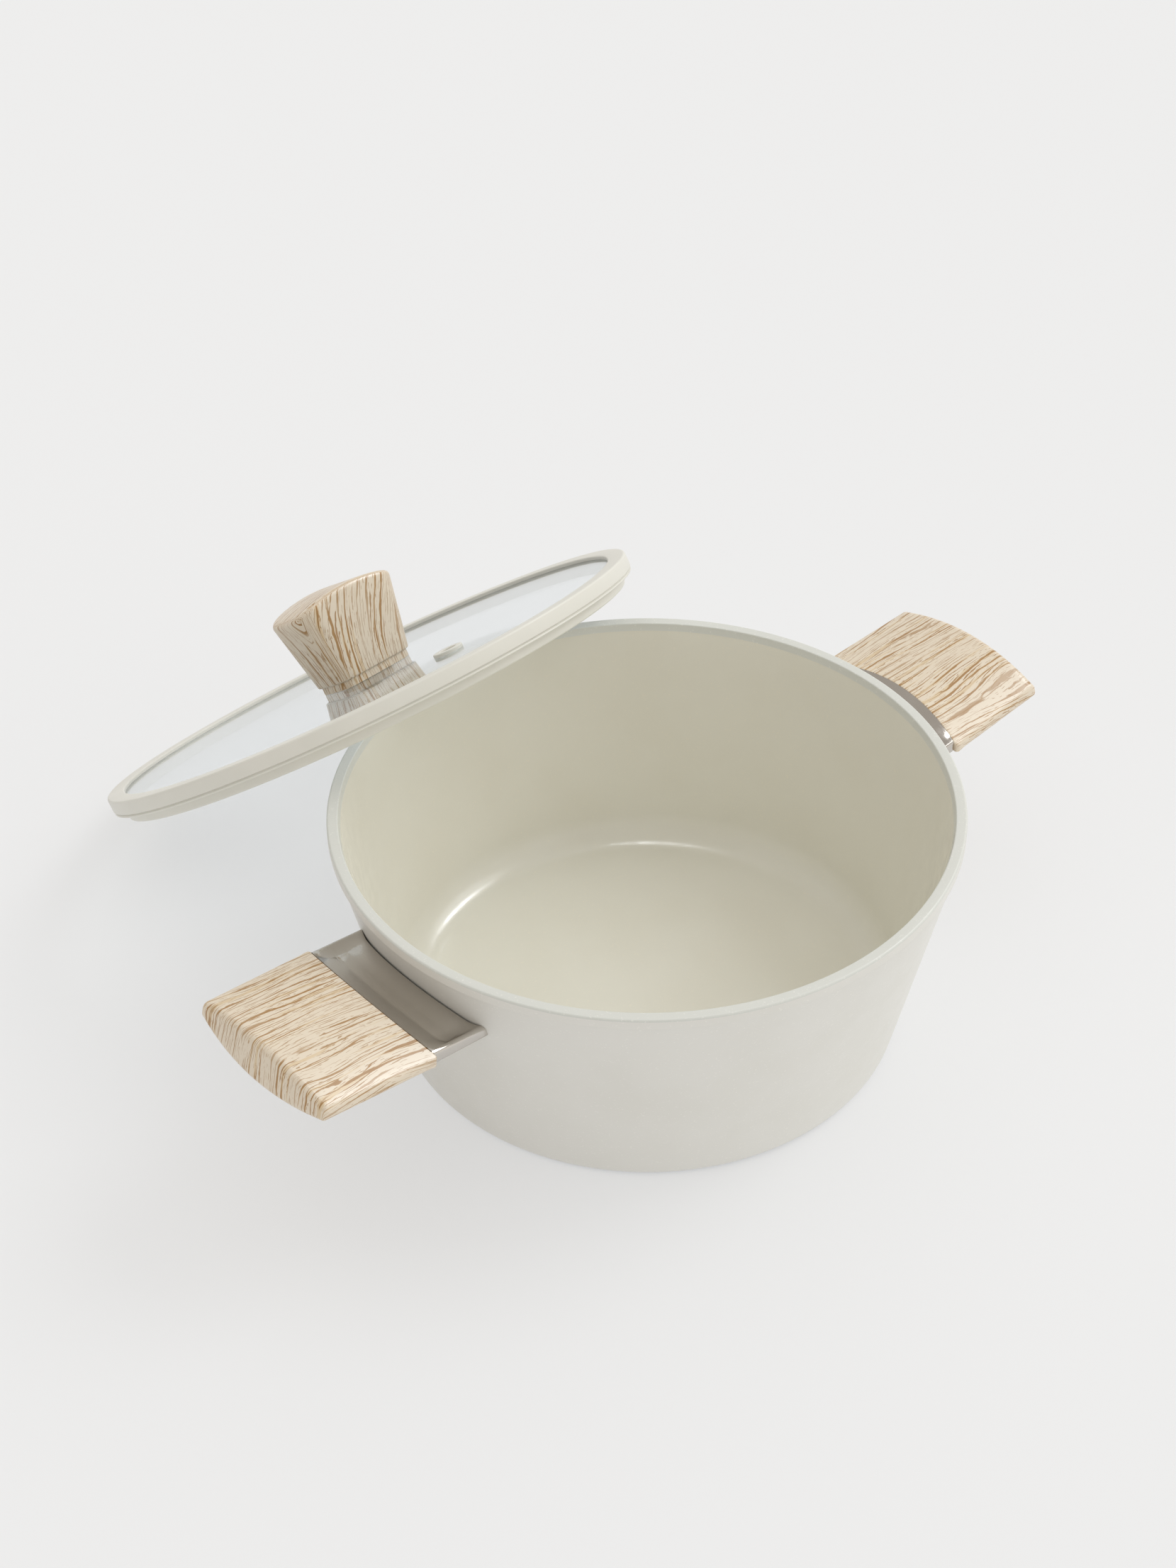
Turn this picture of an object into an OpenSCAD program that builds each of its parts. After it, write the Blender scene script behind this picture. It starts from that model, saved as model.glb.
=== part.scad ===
// Two-handled saucepan with a flat glass lid leaning on its rim.
// Origin: centre of the underside, on the worktop. +X runs along the handles, +Z is up.

/* [Pot] */
// Outer radius of the rim band
rim_r = 124.5; // [110:0.5:150]
// Overall height of the pot
pot_h = 103.5; // [80:0.5:150]
// Thickness of the wall at the rim
rim_wall = 4.5; // [3.5:0.1:6]
// Height of the thicker band below the rim
rim_band_h = 4.5; // [3:0.5:8]
// Step from the rim band in to the wall
rim_step = 1.1; // [0.5:0.1:2]
// How far the wall leans in from the rim band to the bottom
wall_lean = 21.9; // [10:0.1:28]
// Thickness of the wall, measured level
wall_t = 3.4; // [2.5:0.1:4]
// Thickness of the bottom
bottom_t = 5; // [4:0.5:8]
// Outer radius between the wall and the bottom
outer_corner_r = 6; // [3:0.5:9]
// Inner radius between the wall and the bottom
inner_corner_r = 14; // [8:1:20]
// Rounding of the two rim edges
rim_round = 1.2; // [0.5:0.1:1.7]

/* [Base disc] */
// Distance from the steel disc's edge out to the foot of the wall
disc_margin = 11.5; // [9:0.5:40]
// Thickness of the steel disc
disc_t = 1; // [0.6:0.1:2]
// Radius of the hole in the middle of the disc
disc_hole_r = 9; // [4:0.5:20]
// Width of the ring groove turned in the disc
disc_groove_w = 1.5; // [1:0.1:3]
// Depth of the ring groove
disc_groove_d = 0.4; // [0.2:0.1:0.5]

/* [Handles] */
// Drop from the rim to the handle's crown, where the crown meets the wall
handle_drop = 16; // [15:0.5:40]
// Upward tilt of each handle, in degrees
handle_tilt = 5.5; // [0:0.5:10]
// Half width of the flame guard
guard_half_w = 37.4; // [30:0.1:42]
// Rise of the crown across that half width
crown_rise = 6.5; // [3:0.1:8]
// Sag of the underside across that half width
belly_sag = 3.4; // [2:0.1:5]
// Thickness at the middle, where the handle meets the wall
handle_root_t = 14.6; // [13:0.1:18]
// Extra thickness for each millimetre along the handle
handle_taper = 0.02; // [0:0.01:0.08]
// Gap from the wall to the grip, at the middle
guard_len = 21; // [18:0.5:30]
// Sheet thickness of the flame guard
guard_t = 1.2; // [0.8:0.1:1.5]
// Radius of the dish pressed in the top of the guard
dish_r = 18; // [14:0.5:24]
// Depth of the dish
dish_d = 3; // [1:0.1:3.2]
// Width left flat beside each end of the dish
dish_margin = 3.5; // [2:0.5:8]

/* [Grips] */
// Length of the grip at the middle
grip_len = 47.5; // [44:0.5:60]
// Half width of the grip where it meets the guard
grip_inner_half_w = 39.4; // [34:0.1:42]
// Half width of the grip at its outer end
grip_outer_half_w = 37.6; // [30:0.1:42]
// Radius of the hollow face that meets the guard
grip_inner_face_r = 130; // [120:5:400]
// Radius of the bowed outer face
grip_outer_face_r = 240; // [100:2:300]

/* [Handle fixings] */
// Half width of the tongue that holds the grip
tongue_half_w = 15; // [12:0.5:16]
// Thickness of the tongue
tongue_t = 5.5; // [4:0.5:5.5]
// How far the tongue reaches into the grip
tongue_reach = 25; // [20:1:35]
// Distance of the screws from the grip's inner face
screw_inset = 15; // [10:0.5:18]
// Half the distance between the two screws
screw_half_pitch = 10; // [7:0.5:12]
// Radius of the fixing screws
screw_r = 2.5; // [2:0.25:3]
// Radius of a screw head
screw_head_r = 4.25; // [3.5:0.25:5]
// Height of a screw head
screw_head_h = 2; // [1.5:0.1:2.5]
// Radius of the washers
washer_r = 4.75; // [4.5:0.25:6]
// Thickness of the washers
washer_t = 0.6; // [0.5:0.1:0.8]
// Clearance round tongues, screws and washers
fit_gap = 0.2; // [0.1:0.05:0.4]

/* [Lid] */
// Gap between the lid's plug and the pot's inner wall
plug_gap = 2.5; // [0.5:0.1:4]
// How far the lid's flange stands out from the plug
flange_out = 4.9; // [3:0.1:6]
// Height of the flange's side
flange_h = 7.8; // [7.7:0.1:10]
// Height of the whole silicone rim
lid_rim_h = 12; // [10.5:0.1:16]
// Width of the rim's top face
rim_face_w = 8; // [7:0.1:12]
// Height of the lip above the glass
lip_h = 1.6; // [0.8:0.1:1.7]
// Width of the plug's skirt
skirt_w = 4.7; // [3.5:0.1:6]
// Thickness of the glass
glass_t = 4.6; // [3:0.1:5]
// How far the glass reaches into the rim
glass_bite = 4; // [2.5:0.1:4.5]
// Rounding of the flange's top edge
flange_round = 1.5; // [0.5:0.1:2.5]

/* [Steam vent] */
// Distance of the steam vent from the middle of the lid
vent_r = 68; // [35:1:100]
// Outer radius of the vent's ring
vent_flange_r = 6.5; // [5:0.1:8]
// Radius of the steam hole
vent_hole_r = 3.6; // [2:0.1:3.8]
// Radius of the hole through the glass
vent_glass_r = 4.6; // [4.4:0.1:4.9]
// Height of the ring above the glass, and below it
vent_flange_h = 1.5; // [0.8:0.1:2.5]

/* [Knob] */
// Half length of the knob at its foot
knob_foot_a = 20; // [15:0.5:24]
// Half depth of the knob at its foot
knob_foot_b = 14; // [11:0.5:18]
// Half length of the knob at its top
knob_top_a = 28; // [18:0.5:32]
// Half depth of the knob at its top
knob_top_b = 17.5; // [12:0.5:22]
// Height of the neck below the flare
neck_h = 3.5; // [2:0.5:6]
// How far the neck is set in from the foot
neck_inset = 1.3; // [0.5:0.1:2]
// Height of the knob above the glass at its middle
knob_h = 41; // [30:1:50]
// Radius of the knob's arched top
knob_arch_r = 78; // [60:1:120]
// Corner radius of the knob at its foot
knob_corner_r = 7; // [4:0.5:9]

/* [Knob fixings] */
// Radius of the knob's screw
knob_screw_r = 2.5; // [2:0.25:3]
// Length of the screw inside the knob
knob_screw_reach = 11; // [8:0.5:14]
// Outer radius of the threaded insert
insert_r = 4.5; // [4:0.25:6]
// Length of the threaded insert
insert_len = 13; // [10:0.5:16]
// Radius of the silicone seal on top of the glass
seal_r = 8; // [7:0.25:9]
// Thickness of each silicone seal
seal_t = 1; // [0.6:0.1:1.5]
// Radius of the seal below the glass
under_seal_r = 11; // [9:0.5:14]
// Radius of the steel cup washer
cup_r = 12; // [10:0.5:16]
// Thickness of the cup washer
cup_t = 1.4; // [1:0.1:2]
// Radius of the knob screw's head
knob_screw_head_r = 5; // [4:0.25:6]
// Height of the knob screw's head
knob_screw_head_h = 2.4; // [1.5:0.1:3]
// Radius of the middle hole in the glass
glass_hole_r = 4; // [3.2:0.1:5]

/* [Lid as it leans] */
// Tilt of the lid from level, in degrees
lid_tilt = 36; // [31:0.1:40]
// Direction of the lid from the pot's middle, in degrees
lid_azimuth = 93; // [80:1:100]
// Gap left between the lid and the rim that it leans on
lean_gap = 0.5; // [0.3:0.05:0.6]

/* [Hidden] */
$fn = 96;
fine = 180;  // $fn of the large arcs
coarse = 32;  // $fn of what a hull joins
pass = 1;  // how far a cutter runs past the face it opens
slab = 0.01;  // thickness of the outlines that a hull joins
slot_w = 0.8;  // width of the cross slot in a screw head
groove_shares = [0.35, 0.65, 0.95];  // where each ring groove ends, as a share of the disc

cream = "#e2e1d8";
steel = "#b9bcbf";
alloy = "#c4c5c3";
ash = "#dccfb8";
zinc = "#9c9ea1";
brass = "#c9a956";
glass_tint = "#dfe9ea";
cream_silicone = "#dcdacf";
white_silicone = "#e8e8e2";

// Pot profile
wall_top_z = pot_h - rim_band_h;
wall_top_r = rim_r - rim_step;
wall_foot_r = wall_top_r - wall_lean;
wall_angle = atan2(wall_lean, wall_top_z);
disc_r = wall_foot_r - disc_margin;
inner_top_r = rim_r - rim_wall;
inner_floor_r = wall_foot_r + bottom_t * tan(wall_angle) - wall_t;
inner_angle = atan2(inner_top_r - inner_floor_r, pot_h - bottom_t);

// Handle frame: its origin is on the wall, under the crown, and its X runs out along the handle
handle_z = pot_h - handle_drop;
handle_x = wall_foot_r + handle_z * tan(wall_angle);
crown_r = (guard_half_w * guard_half_w + crown_rise * crown_rise) / (2 * crown_rise);
belly_r = (guard_half_w * guard_half_w + belly_sag * belly_sag) / (2 * belly_sag);
grip_end = guard_len + grip_len;
tongue_end = guard_len + tongue_reach;
screw_x = guard_len + screw_inset;
tongue_top = -dish_d - guard_t - fit_gap
    - crown_r + sqrt(crown_r * crown_r - tongue_half_w * tongue_half_w);
tongue_low = tongue_top - tongue_t;
thread_gap = fit_gap / 4;
below_handle = -3 * handle_root_t;
handle_span = 5 * handle_root_t;
screw_pocket_r = max(washer_r, screw_head_r) + fit_gap;
grip_belly_at_screw = -handle_root_t - handle_taper * screw_x
    + belly_r - sqrt(belly_r * belly_r - screw_half_pitch * screw_half_pitch);
head_seat = grip_belly_at_screw + screw_head_h;
washer_seat = head_seat + washer_t;

// Lid sections, measured from the top face of the rim
plug_r = inner_top_r - plug_gap;
lid_r = plug_r + flange_out;
opening_r = lid_r - rim_face_w;
glass_r = opening_r + glass_bite;
glass_top = -lip_h;
glass_low = glass_top - glass_t;
neck_a = knob_foot_a - neck_inset;
neck_b = knob_foot_b - neck_inset;
knob_bore_r = knob_screw_r + fit_gap;
cup_low = glass_low - seal_t - cup_t;

// The lid stands on its lowest edge and leans on the rim's outer edge
lid_z = max(plug_r * sin(lid_tilt) + lid_rim_h * cos(lid_tilt),
            lid_r * sin(lid_tilt) + flange_h * cos(lid_tilt));
lid_reach = rim_r + ((pot_h - lid_z) * cos(lid_tilt) - glass_low + lean_gap) / sin(lid_tilt);

// ---- shared shapes ----

module ring(outer_r, inner_r, low, high) {
    translate([0, 0, low])
        difference() {
            cylinder(r = outer_r, h = high - low);
            translate([0, 0, -pass]) cylinder(r = inner_r, h = high - low + 2 * pass);
        }
}

module disc(r, low, high) {
    translate([0, 0, low]) cylinder(r = r, h = high - low);
}

// Cutter for the crossed slots in the face of a screw head that starts at a height
module cross_slot(half_len, head_low, depth) {
    for (turn = [0, 90])
        rotate([0, 0, turn])
            translate([-half_len, -slot_w / 2, head_low - pass])
                cube([2 * half_len, slot_w, depth + pass]);
}

// Half section of a tapered pan: a floor, a round corner and a leaning wall
module pan_section(floor_z, foot_r, lean, corner_r, top_z) {
    corner_x = foot_r + corner_r * tan(lean) - corner_r / cos(lean);
    wall_x = corner_x + corner_r * cos(lean);
    wall_z = floor_z + corner_r - corner_r * sin(lean);
    polygon([[0, floor_z], [corner_x, floor_z], [wall_x, wall_z],
             [foot_r + (top_z - floor_z) * tan(lean), top_z], [0, top_z]]);
    translate([corner_x, floor_z + corner_r]) circle(r = corner_r);
}

module pot_outside() {
    rotate_extrude() intersection() {
        pan_section(0, wall_foot_r, wall_angle, outer_corner_r, wall_top_z);
        square([rim_r, pot_h]);
    }
}

module rim_band() {
    rotate_extrude() {
        translate([inner_top_r - wall_t, wall_top_z])
            square([rim_wall + wall_t, rim_band_h - rim_round]);
        translate([inner_top_r - wall_t, wall_top_z])
            square([rim_wall + wall_t - rim_round, rim_band_h]);
        translate([rim_r - rim_round, pot_h - rim_round]) circle(r = rim_round);
    }
}

module pot_inside() {
    rotate_extrude() intersection() {
        pan_section(bottom_t, inner_floor_r, inner_angle, inner_corner_r, pot_h + pass);
        square([rim_r, pot_h + pass]);
    }
}

// Places its children in a handle's own frame; side is 1 on the right and -1 on the left
module handle_frame(side) {
    mirror([side < 0 ? 1 : 0, 0, 0])
        translate([handle_x, 0, handle_z])
            rotate([0, -handle_tilt, 0])
                children();
}

// The lens section shared by guard and grip; skin is taken off all round
module lens_bar(half_w, from_x, to_x, skin) {
    intersection() {
        translate([from_x, 0, -crown_r])
            rotate([0, 90, 0]) cylinder(r = crown_r - skin, h = to_x - from_x, $fn = fine);
        rotate([0, atan(handle_taper), 0])
            translate([from_x - 2 * pass, 0, belly_r - handle_root_t])
                rotate([0, 90, 0])
                    cylinder(r = belly_r - skin, h = to_x - from_x + 8 * pass, $fn = fine);
        translate([from_x, -half_w + skin, below_handle])
            cube([to_x - from_x, 2 * (half_w - skin), handle_span]);
    }
}

// Everything on the pot's side of the grip's hollow face
module guard_side() {
    translate([guard_len - grip_inner_face_r, 0, below_handle])
        cylinder(r = grip_inner_face_r, h = handle_span, $fn = fine);
}

// Ring-shaped cutter that follows the crown and presses the dish; grow thickens it
module dish_cutter(grow) {
    intersection() {
        translate([guard_len / 2, 0, -crown_r])
            rotate([0, 90, 0])
                rotate_extrude($fn = fine)
                    translate([crown_r + dish_r - dish_d, 0]) circle(r = dish_r + grow);
        translate([-dish_r, dish_margin - guard_half_w - grow, below_handle])
            cube([guard_len + 2 * dish_r, 2 * (guard_half_w - dish_margin + grow), handle_span]);
    }
}

module pot_cut(side) {
    // The pot's outside, brought into the handle's frame
    rotate([0, handle_tilt, 0])
        translate([-handle_x, 0, -handle_z])
            pot_outside();
}

// Places its children in each of a grip's two screw positions
module at_screws() {
    for (y = [-screw_half_pitch, screw_half_pitch]) translate([screw_x, y, 0]) children();
}

// Places its children in the leaning lid's frame: X level, Y up the slope, Z out of the glass
module lid_frame() {
    translate([lid_reach * cos(lid_azimuth), lid_reach * sin(lid_azimuth), lid_z])
        rotate([0, 0, lid_azimuth + 90])
            rotate([lid_tilt, 0, 0])
                children();
}

// ---- pot ----

module pot_shell() {
    color(cream)
        difference() {
            union() {
                pot_outside();
                rim_band();
            }
            pot_inside();
            disc(disc_r, -pass, disc_t);
        }
}

module base_disc() {
    color(steel)
        difference() {
            ring(disc_r, disc_hole_r, 0, disc_t);
            for (share = groove_shares)
                ring(disc_r * share, disc_r * share - disc_groove_w, -pass, disc_groove_d);
        }
}

// ---- handles ----

module lug(side) {
    color(alloy)
        handle_frame(side)
            difference() {
                translate([-dish_r, -tongue_half_w, tongue_low])
                    cube([dish_r + tongue_end, 2 * tongue_half_w, tongue_t]);
                pot_cut(side);
                at_screws() disc(screw_r + thread_gap, tongue_low - pass, tongue_top + pass);
            }
}

module flame_guard(side) {
    color(steel)
        handle_frame(side)
            difference() {
                intersection() {
                    lens_bar(guard_half_w, -dish_r, guard_len + pass, 0);
                    guard_side();
                }
                difference() {
                    lens_bar(guard_half_w, -dish_r - pass, guard_len + 2 * pass, guard_t);
                    dish_cutter(guard_t);
                }
                dish_cutter(0);
                pot_cut(side);
            }
}

module grip(side) {
    color(ash)
        handle_frame(side)
            difference() {
                intersection() {
                    lens_bar(grip_inner_half_w, 0, grip_end + pass, 0);
                    translate([0, 0, below_handle])
                        linear_extrude(height = handle_span)
                            intersection() {
                                polygon([[0, grip_inner_half_w], [guard_len, grip_inner_half_w],
                                         [grip_end, grip_outer_half_w],
                                         [grip_end, -grip_outer_half_w],
                                         [guard_len, -grip_inner_half_w], [0, -grip_inner_half_w]]);
                                translate([grip_end - grip_outer_face_r, 0])
                                    circle(r = grip_outer_face_r, $fn = fine);
                            }
                }
                guard_side();
                translate([0, -tongue_half_w - fit_gap, tongue_low - fit_gap])
                    cube([tongue_end + fit_gap, 2 * (tongue_half_w + fit_gap),
                          tongue_t + 2 * fit_gap]);
                at_screws() disc(screw_r + fit_gap, washer_seat - pass, tongue_low);
                at_screws() disc(screw_pocket_r, below_handle, washer_seat);
            }
}

module grip_screws(side) {
    color(zinc)
        handle_frame(side)
            at_screws()
                difference() {
                    union() {
                        disc(screw_r, head_seat, tongue_top);
                        disc(screw_head_r, head_seat - screw_head_h, head_seat);
                    }
                    cross_slot(screw_r, head_seat - screw_head_h, screw_head_h / 2);
                }
}

module screw_washers(side) {
    color(zinc)
        handle_frame(side)
            at_screws() ring(washer_r, screw_r + fit_gap, head_seat, washer_seat);
}

// ---- lid ----

module glass_disc() {
    color(glass_tint, 0.45)
        lid_frame()
            difference() {
                disc(glass_r, glass_low, glass_top);
                disc(glass_hole_r, glass_low - pass, glass_top + pass);
                translate([0, vent_r, 0])
                    disc(vent_glass_r, glass_low - pass, glass_top + pass);
            }
}

module silicone_rim() {
    color(cream_silicone)
        lid_frame()
            rotate_extrude()
                difference() {
                    union() {
                        translate([opening_r, -flange_h])
                            square([rim_face_w, flange_h - flange_round]);
                        translate([opening_r, -flange_h])
                            square([rim_face_w - flange_round, flange_h]);
                        translate([lid_r - flange_round, -flange_round]) circle(r = flange_round);
                        translate([plug_r - skirt_w, -lid_rim_h])
                            square([skirt_w, lid_rim_h - flange_h + pass]);
                    }
                    translate([0, glass_low]) square([glass_r, glass_t]);
                }
}

module vent_grommet() {
    color(cream_silicone)
        lid_frame()
            translate([0, vent_r, 0])
                difference() {
                    union() {
                        disc(vent_flange_r, glass_top, glass_top + vent_flange_h);
                        disc(vent_glass_r, glass_low - vent_flange_h, glass_top + vent_flange_h);
                        disc(vent_flange_r, glass_low - vent_flange_h, glass_low);
                    }
                    disc(vent_hole_r, glass_low - vent_flange_h - pass,
                         glass_top + vent_flange_h + pass);
                }
}

// Rounded rectangle as a plain outline
module pad(a, b, r) {
    square([2 * a, 2 * (b - r)], center = true);
    square([2 * (a - r), 2 * b], center = true);
    for (x = [-1, 1])
        for (y = [-1, 1])
            translate([x * (a - r), y * (b - r)]) circle(r = r);
}

module knob() {
    top_corner_r = knob_corner_r + knob_top_b - knob_foot_b;
    color(ash)
        lid_frame()
            difference() {
                union() {
                    translate([0, 0, glass_top])
                        linear_extrude(height = neck_h + pass)
                            pad(neck_a, neck_b, knob_corner_r - neck_inset);
                    intersection() {
                        hull() {
                            translate([0, 0, glass_top + neck_h])
                                linear_extrude(height = slab)
                                    pad(knob_foot_a, knob_foot_b, knob_corner_r, $fn = coarse);
                            translate([0, 0, glass_top + knob_h])
                                linear_extrude(height = slab)
                                    pad(knob_top_a, knob_top_b, top_corner_r, $fn = coarse);
                        }
                        translate([0, 2 * knob_top_b, glass_top + knob_h - knob_arch_r])
                            rotate([90, 0, 0])
                                cylinder(r = knob_arch_r, h = 4 * knob_top_b, $fn = fine);
                    }
                }
                disc(seal_r, glass_top - pass, glass_top + seal_t);
                disc(insert_r, glass_top, glass_top + seal_t + insert_len);
            }
}

module knob_insert() {
    color(brass)
        lid_frame()
            difference() {
                disc(insert_r, glass_top + seal_t, glass_top + seal_t + insert_len);
                disc(knob_screw_r + thread_gap, glass_top,
                     glass_top + seal_t + knob_screw_reach + fit_gap);
            }
}

module knob_seal() {
    color(white_silicone)
        lid_frame() ring(seal_r, knob_bore_r, glass_top, glass_top + seal_t);
}

module under_seal() {
    color(white_silicone)
        lid_frame() ring(under_seal_r, knob_bore_r, glass_low - seal_t, glass_low);
}

module cup_washer() {
    color(steel)
        lid_frame() {
            ring(cup_r, knob_bore_r, cup_low, cup_low + cup_t);
            ring(cup_r, under_seal_r + fit_gap, cup_low, glass_low - fit_gap);
        }
}

module knob_screw() {
    color(steel)
        lid_frame()
            difference() {
                union() {
                    disc(knob_screw_r, cup_low - knob_screw_head_h / 2,
                         glass_top + seal_t + knob_screw_reach);
                    disc(knob_screw_head_r, cup_low - knob_screw_head_h, cup_low);
                }
                cross_slot(knob_screw_r, cup_low - knob_screw_head_h, knob_screw_head_h / 2);
            }
}

pot_shell();
base_disc();
lug(-1);  // left_lug
flame_guard(-1);  // left_flame_guard
grip(-1);  // left_grip
grip_screws(-1);  // left_grip_screws
screw_washers(-1);  // left_screw_washers
lug(1);  // right_lug
flame_guard(1);  // right_flame_guard
grip(1);  // right_grip
grip_screws(1);  // right_grip_screws
screw_washers(1);  // right_screw_washers
glass_disc();
silicone_rim();
vent_grommet();
knob();
knob_insert();
knob_seal();
under_seal();
cup_washer();
knob_screw();
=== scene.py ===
"""Cream two-handled saucepan with its glass lid leaning on the rim.

Every shape is worked out in millimetres, in the same frame as the CAD model, and turned to
metres once, when a mesh is made. Each sub-assembly is a class that holds its sizes, builds its
pieces and dresses them with finishes.
"""

import logging
import math
from dataclasses import dataclass, field
from enum import Enum
from typing import Any, Callable, Sequence

import bpy
from mathutils import Matrix, Vector


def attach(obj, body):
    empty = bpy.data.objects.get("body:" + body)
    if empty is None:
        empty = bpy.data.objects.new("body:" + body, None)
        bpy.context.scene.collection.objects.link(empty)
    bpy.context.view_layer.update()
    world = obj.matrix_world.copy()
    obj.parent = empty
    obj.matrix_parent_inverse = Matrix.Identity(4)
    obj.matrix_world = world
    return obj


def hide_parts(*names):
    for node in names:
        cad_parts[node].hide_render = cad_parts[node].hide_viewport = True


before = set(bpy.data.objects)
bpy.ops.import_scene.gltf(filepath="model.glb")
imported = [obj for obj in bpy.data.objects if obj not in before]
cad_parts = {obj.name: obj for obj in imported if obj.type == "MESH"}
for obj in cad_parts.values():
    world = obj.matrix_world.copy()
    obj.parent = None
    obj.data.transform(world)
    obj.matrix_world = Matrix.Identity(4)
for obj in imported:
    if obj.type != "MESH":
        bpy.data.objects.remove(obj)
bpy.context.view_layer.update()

MM = 0.001
LOG = logging.getLogger("saucepan")
Section = Sequence[tuple[float, float]]


class Body(Enum):
    """The two rigid bodies that pieces ride on."""

    POT = "pot"
    LID = "lid"


class Side(Enum):
    """The side of the pot that a handle stands on; the value is its turn about Z in degrees."""

    RIGHT = 0.0
    LEFT = 180.0


# ---- mesh tools ----


def arc(centre: tuple[float, float], radius: float, start: float, end: float, steps: int) -> list:
    """Points along an arc in a section.

    Args:
        centre: Middle of the arc.
        radius: Its radius.
        start: Angle of the first point, in degrees.
        end: Angle of the last point, in degrees.
        steps: Number of stretches between the points.

    Returns:
        A list of steps + 1 points.
    """
    turns = [math.radians(start + (end - start) * i / steps) for i in range(steps + 1)]
    return [(centre[0] + radius * math.cos(a), centre[1] + radius * math.sin(a)) for a in turns]


def smooth(value: float) -> float:
    """Eases a value from 0 to 1, held flat outside that range."""
    t = min(max(value, 0.0), 1.0)
    return t * t * (3 - 2 * t)


def mix(a: float, b: float, share: float) -> float:
    """Goes from a to b by a share."""
    return a + (b - a) * share


@dataclass
class Draft:
    """A mesh being made: points in millimetres, faces, and the finish number of each face."""

    points: list[Vector] = field(default_factory=list)
    faces: list[tuple[int, ...]] = field(default_factory=list)
    finish_of: list[int] = field(default_factory=list)

    def ring(self, points: Sequence[Vector]) -> list[int]:
        """Adds a row of points.

        Args:
            points: The points, in millimetres.

        Returns:
            Their numbers in the draft.
        """
        first = len(self.points)
        self.points.extend(points)
        return list(range(first, len(self.points)))

    def skin(self, a: list[int], b: list[int], finish: int = 0) -> None:
        """Joins two closed rings of the same length, or a ring and one point, with faces.

        Args:
            a: Numbers of the first ring's points.
            b: Numbers of the second ring's points.
            finish: Finish number of the faces.
        """
        count = max(len(a), len(b))
        for i in range(count):
            j = (i + 1) % count
            loop = [a[i % len(a)], a[j % len(a)], b[j % len(b)], b[i % len(b)]]
            face = tuple(dict.fromkeys(loop))
            self.faces.append(face)
            self.finish_of.append(finish)

    def skins(self, rings: Sequence[list[int]], finish: int = 0) -> None:
        """Joins each ring with the next one."""
        for a, b in zip(rings, rings[1:]):
            self.skin(a, b, finish)

    def piece(self, name: str, place: Matrix, sharp: float = 35.0) -> bpy.types.Object:
        """Makes the object, with smooth faces up to a sharp angle.

        Args:
            name: Name of the object and its mesh.
            place: Where the draft's frame stands, in millimetres.
            sharp: Angle between faces, in degrees, above which an edge stays crisp.

        Returns:
            The new object, linked to the scene.
        """
        mesh = bpy.data.meshes.new(name)
        spots = [(place @ point) * MM for point in self.points]
        mesh.from_pydata(spots, [], self.faces)
        mesh.polygons.foreach_set("material_index", self.finish_of)
        mesh.polygons.foreach_set("use_smooth", [True] * len(self.faces))
        mesh.validate()
        mesh.set_sharp_from_angle(angle=math.radians(sharp))
        piece = bpy.data.objects.new(name, mesh)
        bpy.context.scene.collection.objects.link(piece)
        return piece


def turned(section: Section, finishes: Sequence[int] | None = None, segments: int = 192,
           closed: bool = True) -> Draft:
    """Turns a section about Z.

    Args:
        section: Points (radius, height), going round with the solid on the left.
        finishes: Finish number of the stretch that starts at each point.
        segments: Number of faces round.
        closed: Whether the last point joins the first.

    Returns:
        The draft of the turned shape.
    """
    draft = Draft()
    rings = []
    for radius, height in section:
        if radius <= 0:
            rings.append(draft.ring([Vector((0, 0, height))]))
            continue
        turns = [2 * math.pi * i / segments for i in range(segments)]
        rings.append(draft.ring([Vector((radius * math.cos(t), radius * math.sin(t), height))
                                 for t in turns]))
    pairs = len(rings) if closed else len(rings) - 1
    for i in range(pairs):
        a, b = rings[i], rings[(i + 1) % len(rings)]
        if len(a) == 1 and len(b) == 1:
            continue
        draft.skin(a, b, finishes[i] if finishes else 0)
    return draft


def rounded_corner(before: Vector, corner: Vector, after: Vector, radius: float,
                   steps: int) -> list[Vector]:
    """Replaces a plan corner by an arc.

    Args:
        before: A point on the side that comes into the corner.
        corner: The sharp corner.
        after: A point on the side that leaves it.
        radius: Radius of the arc.
        steps: Number of stretches on the arc.

    Returns:
        The arc's points, from the first side to the second.
    """
    inward = (before - corner).normalized()
    onward = (after - corner).normalized()
    half = inward.angle(onward) / 2
    bisector = (inward + onward).normalized()
    centre = corner + bisector * (radius / math.sin(half))
    start = (corner + inward * (radius / math.tan(half)) - centre).normalized()
    end = (corner + onward * (radius / math.tan(half)) - centre).normalized()
    return [centre + start.slerp(end, i / steps) * radius for i in range(steps + 1)]


def plan_normals(outline: Sequence[Vector]) -> list[Vector]:
    """Works out which way each point of a plan outline faces.

    Args:
        outline: The outline's points, counter-clockwise.

    Returns:
        The outward level normal at each point.
    """
    count = len(outline)
    normals = []
    for i in range(count):
        along = outline[(i + 1) % count] - outline[i - 1]
        normals.append(Vector((along.y, -along.x, 0)).normalized())
    return normals


def rolled_edge(corner: Vector, first: Vector, second: Vector, radius: float,
                steps: int) -> list[Vector]:
    """Points of a round that joins two faces meeting at a corner.

    Args:
        corner: Where the two faces would meet.
        first: Outward normal of the face that the round leaves.
        second: Outward normal of the face that it reaches.
        radius: Radius of the round.
        steps: Number of stretches on it.

    Returns:
        Points from the first face to the second.
    """
    middle = corner - (first + second) * (radius / (1 + first.dot(second)))
    return [middle + first.slerp(second, i / steps) * radius for i in range(steps + 1)]


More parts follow.
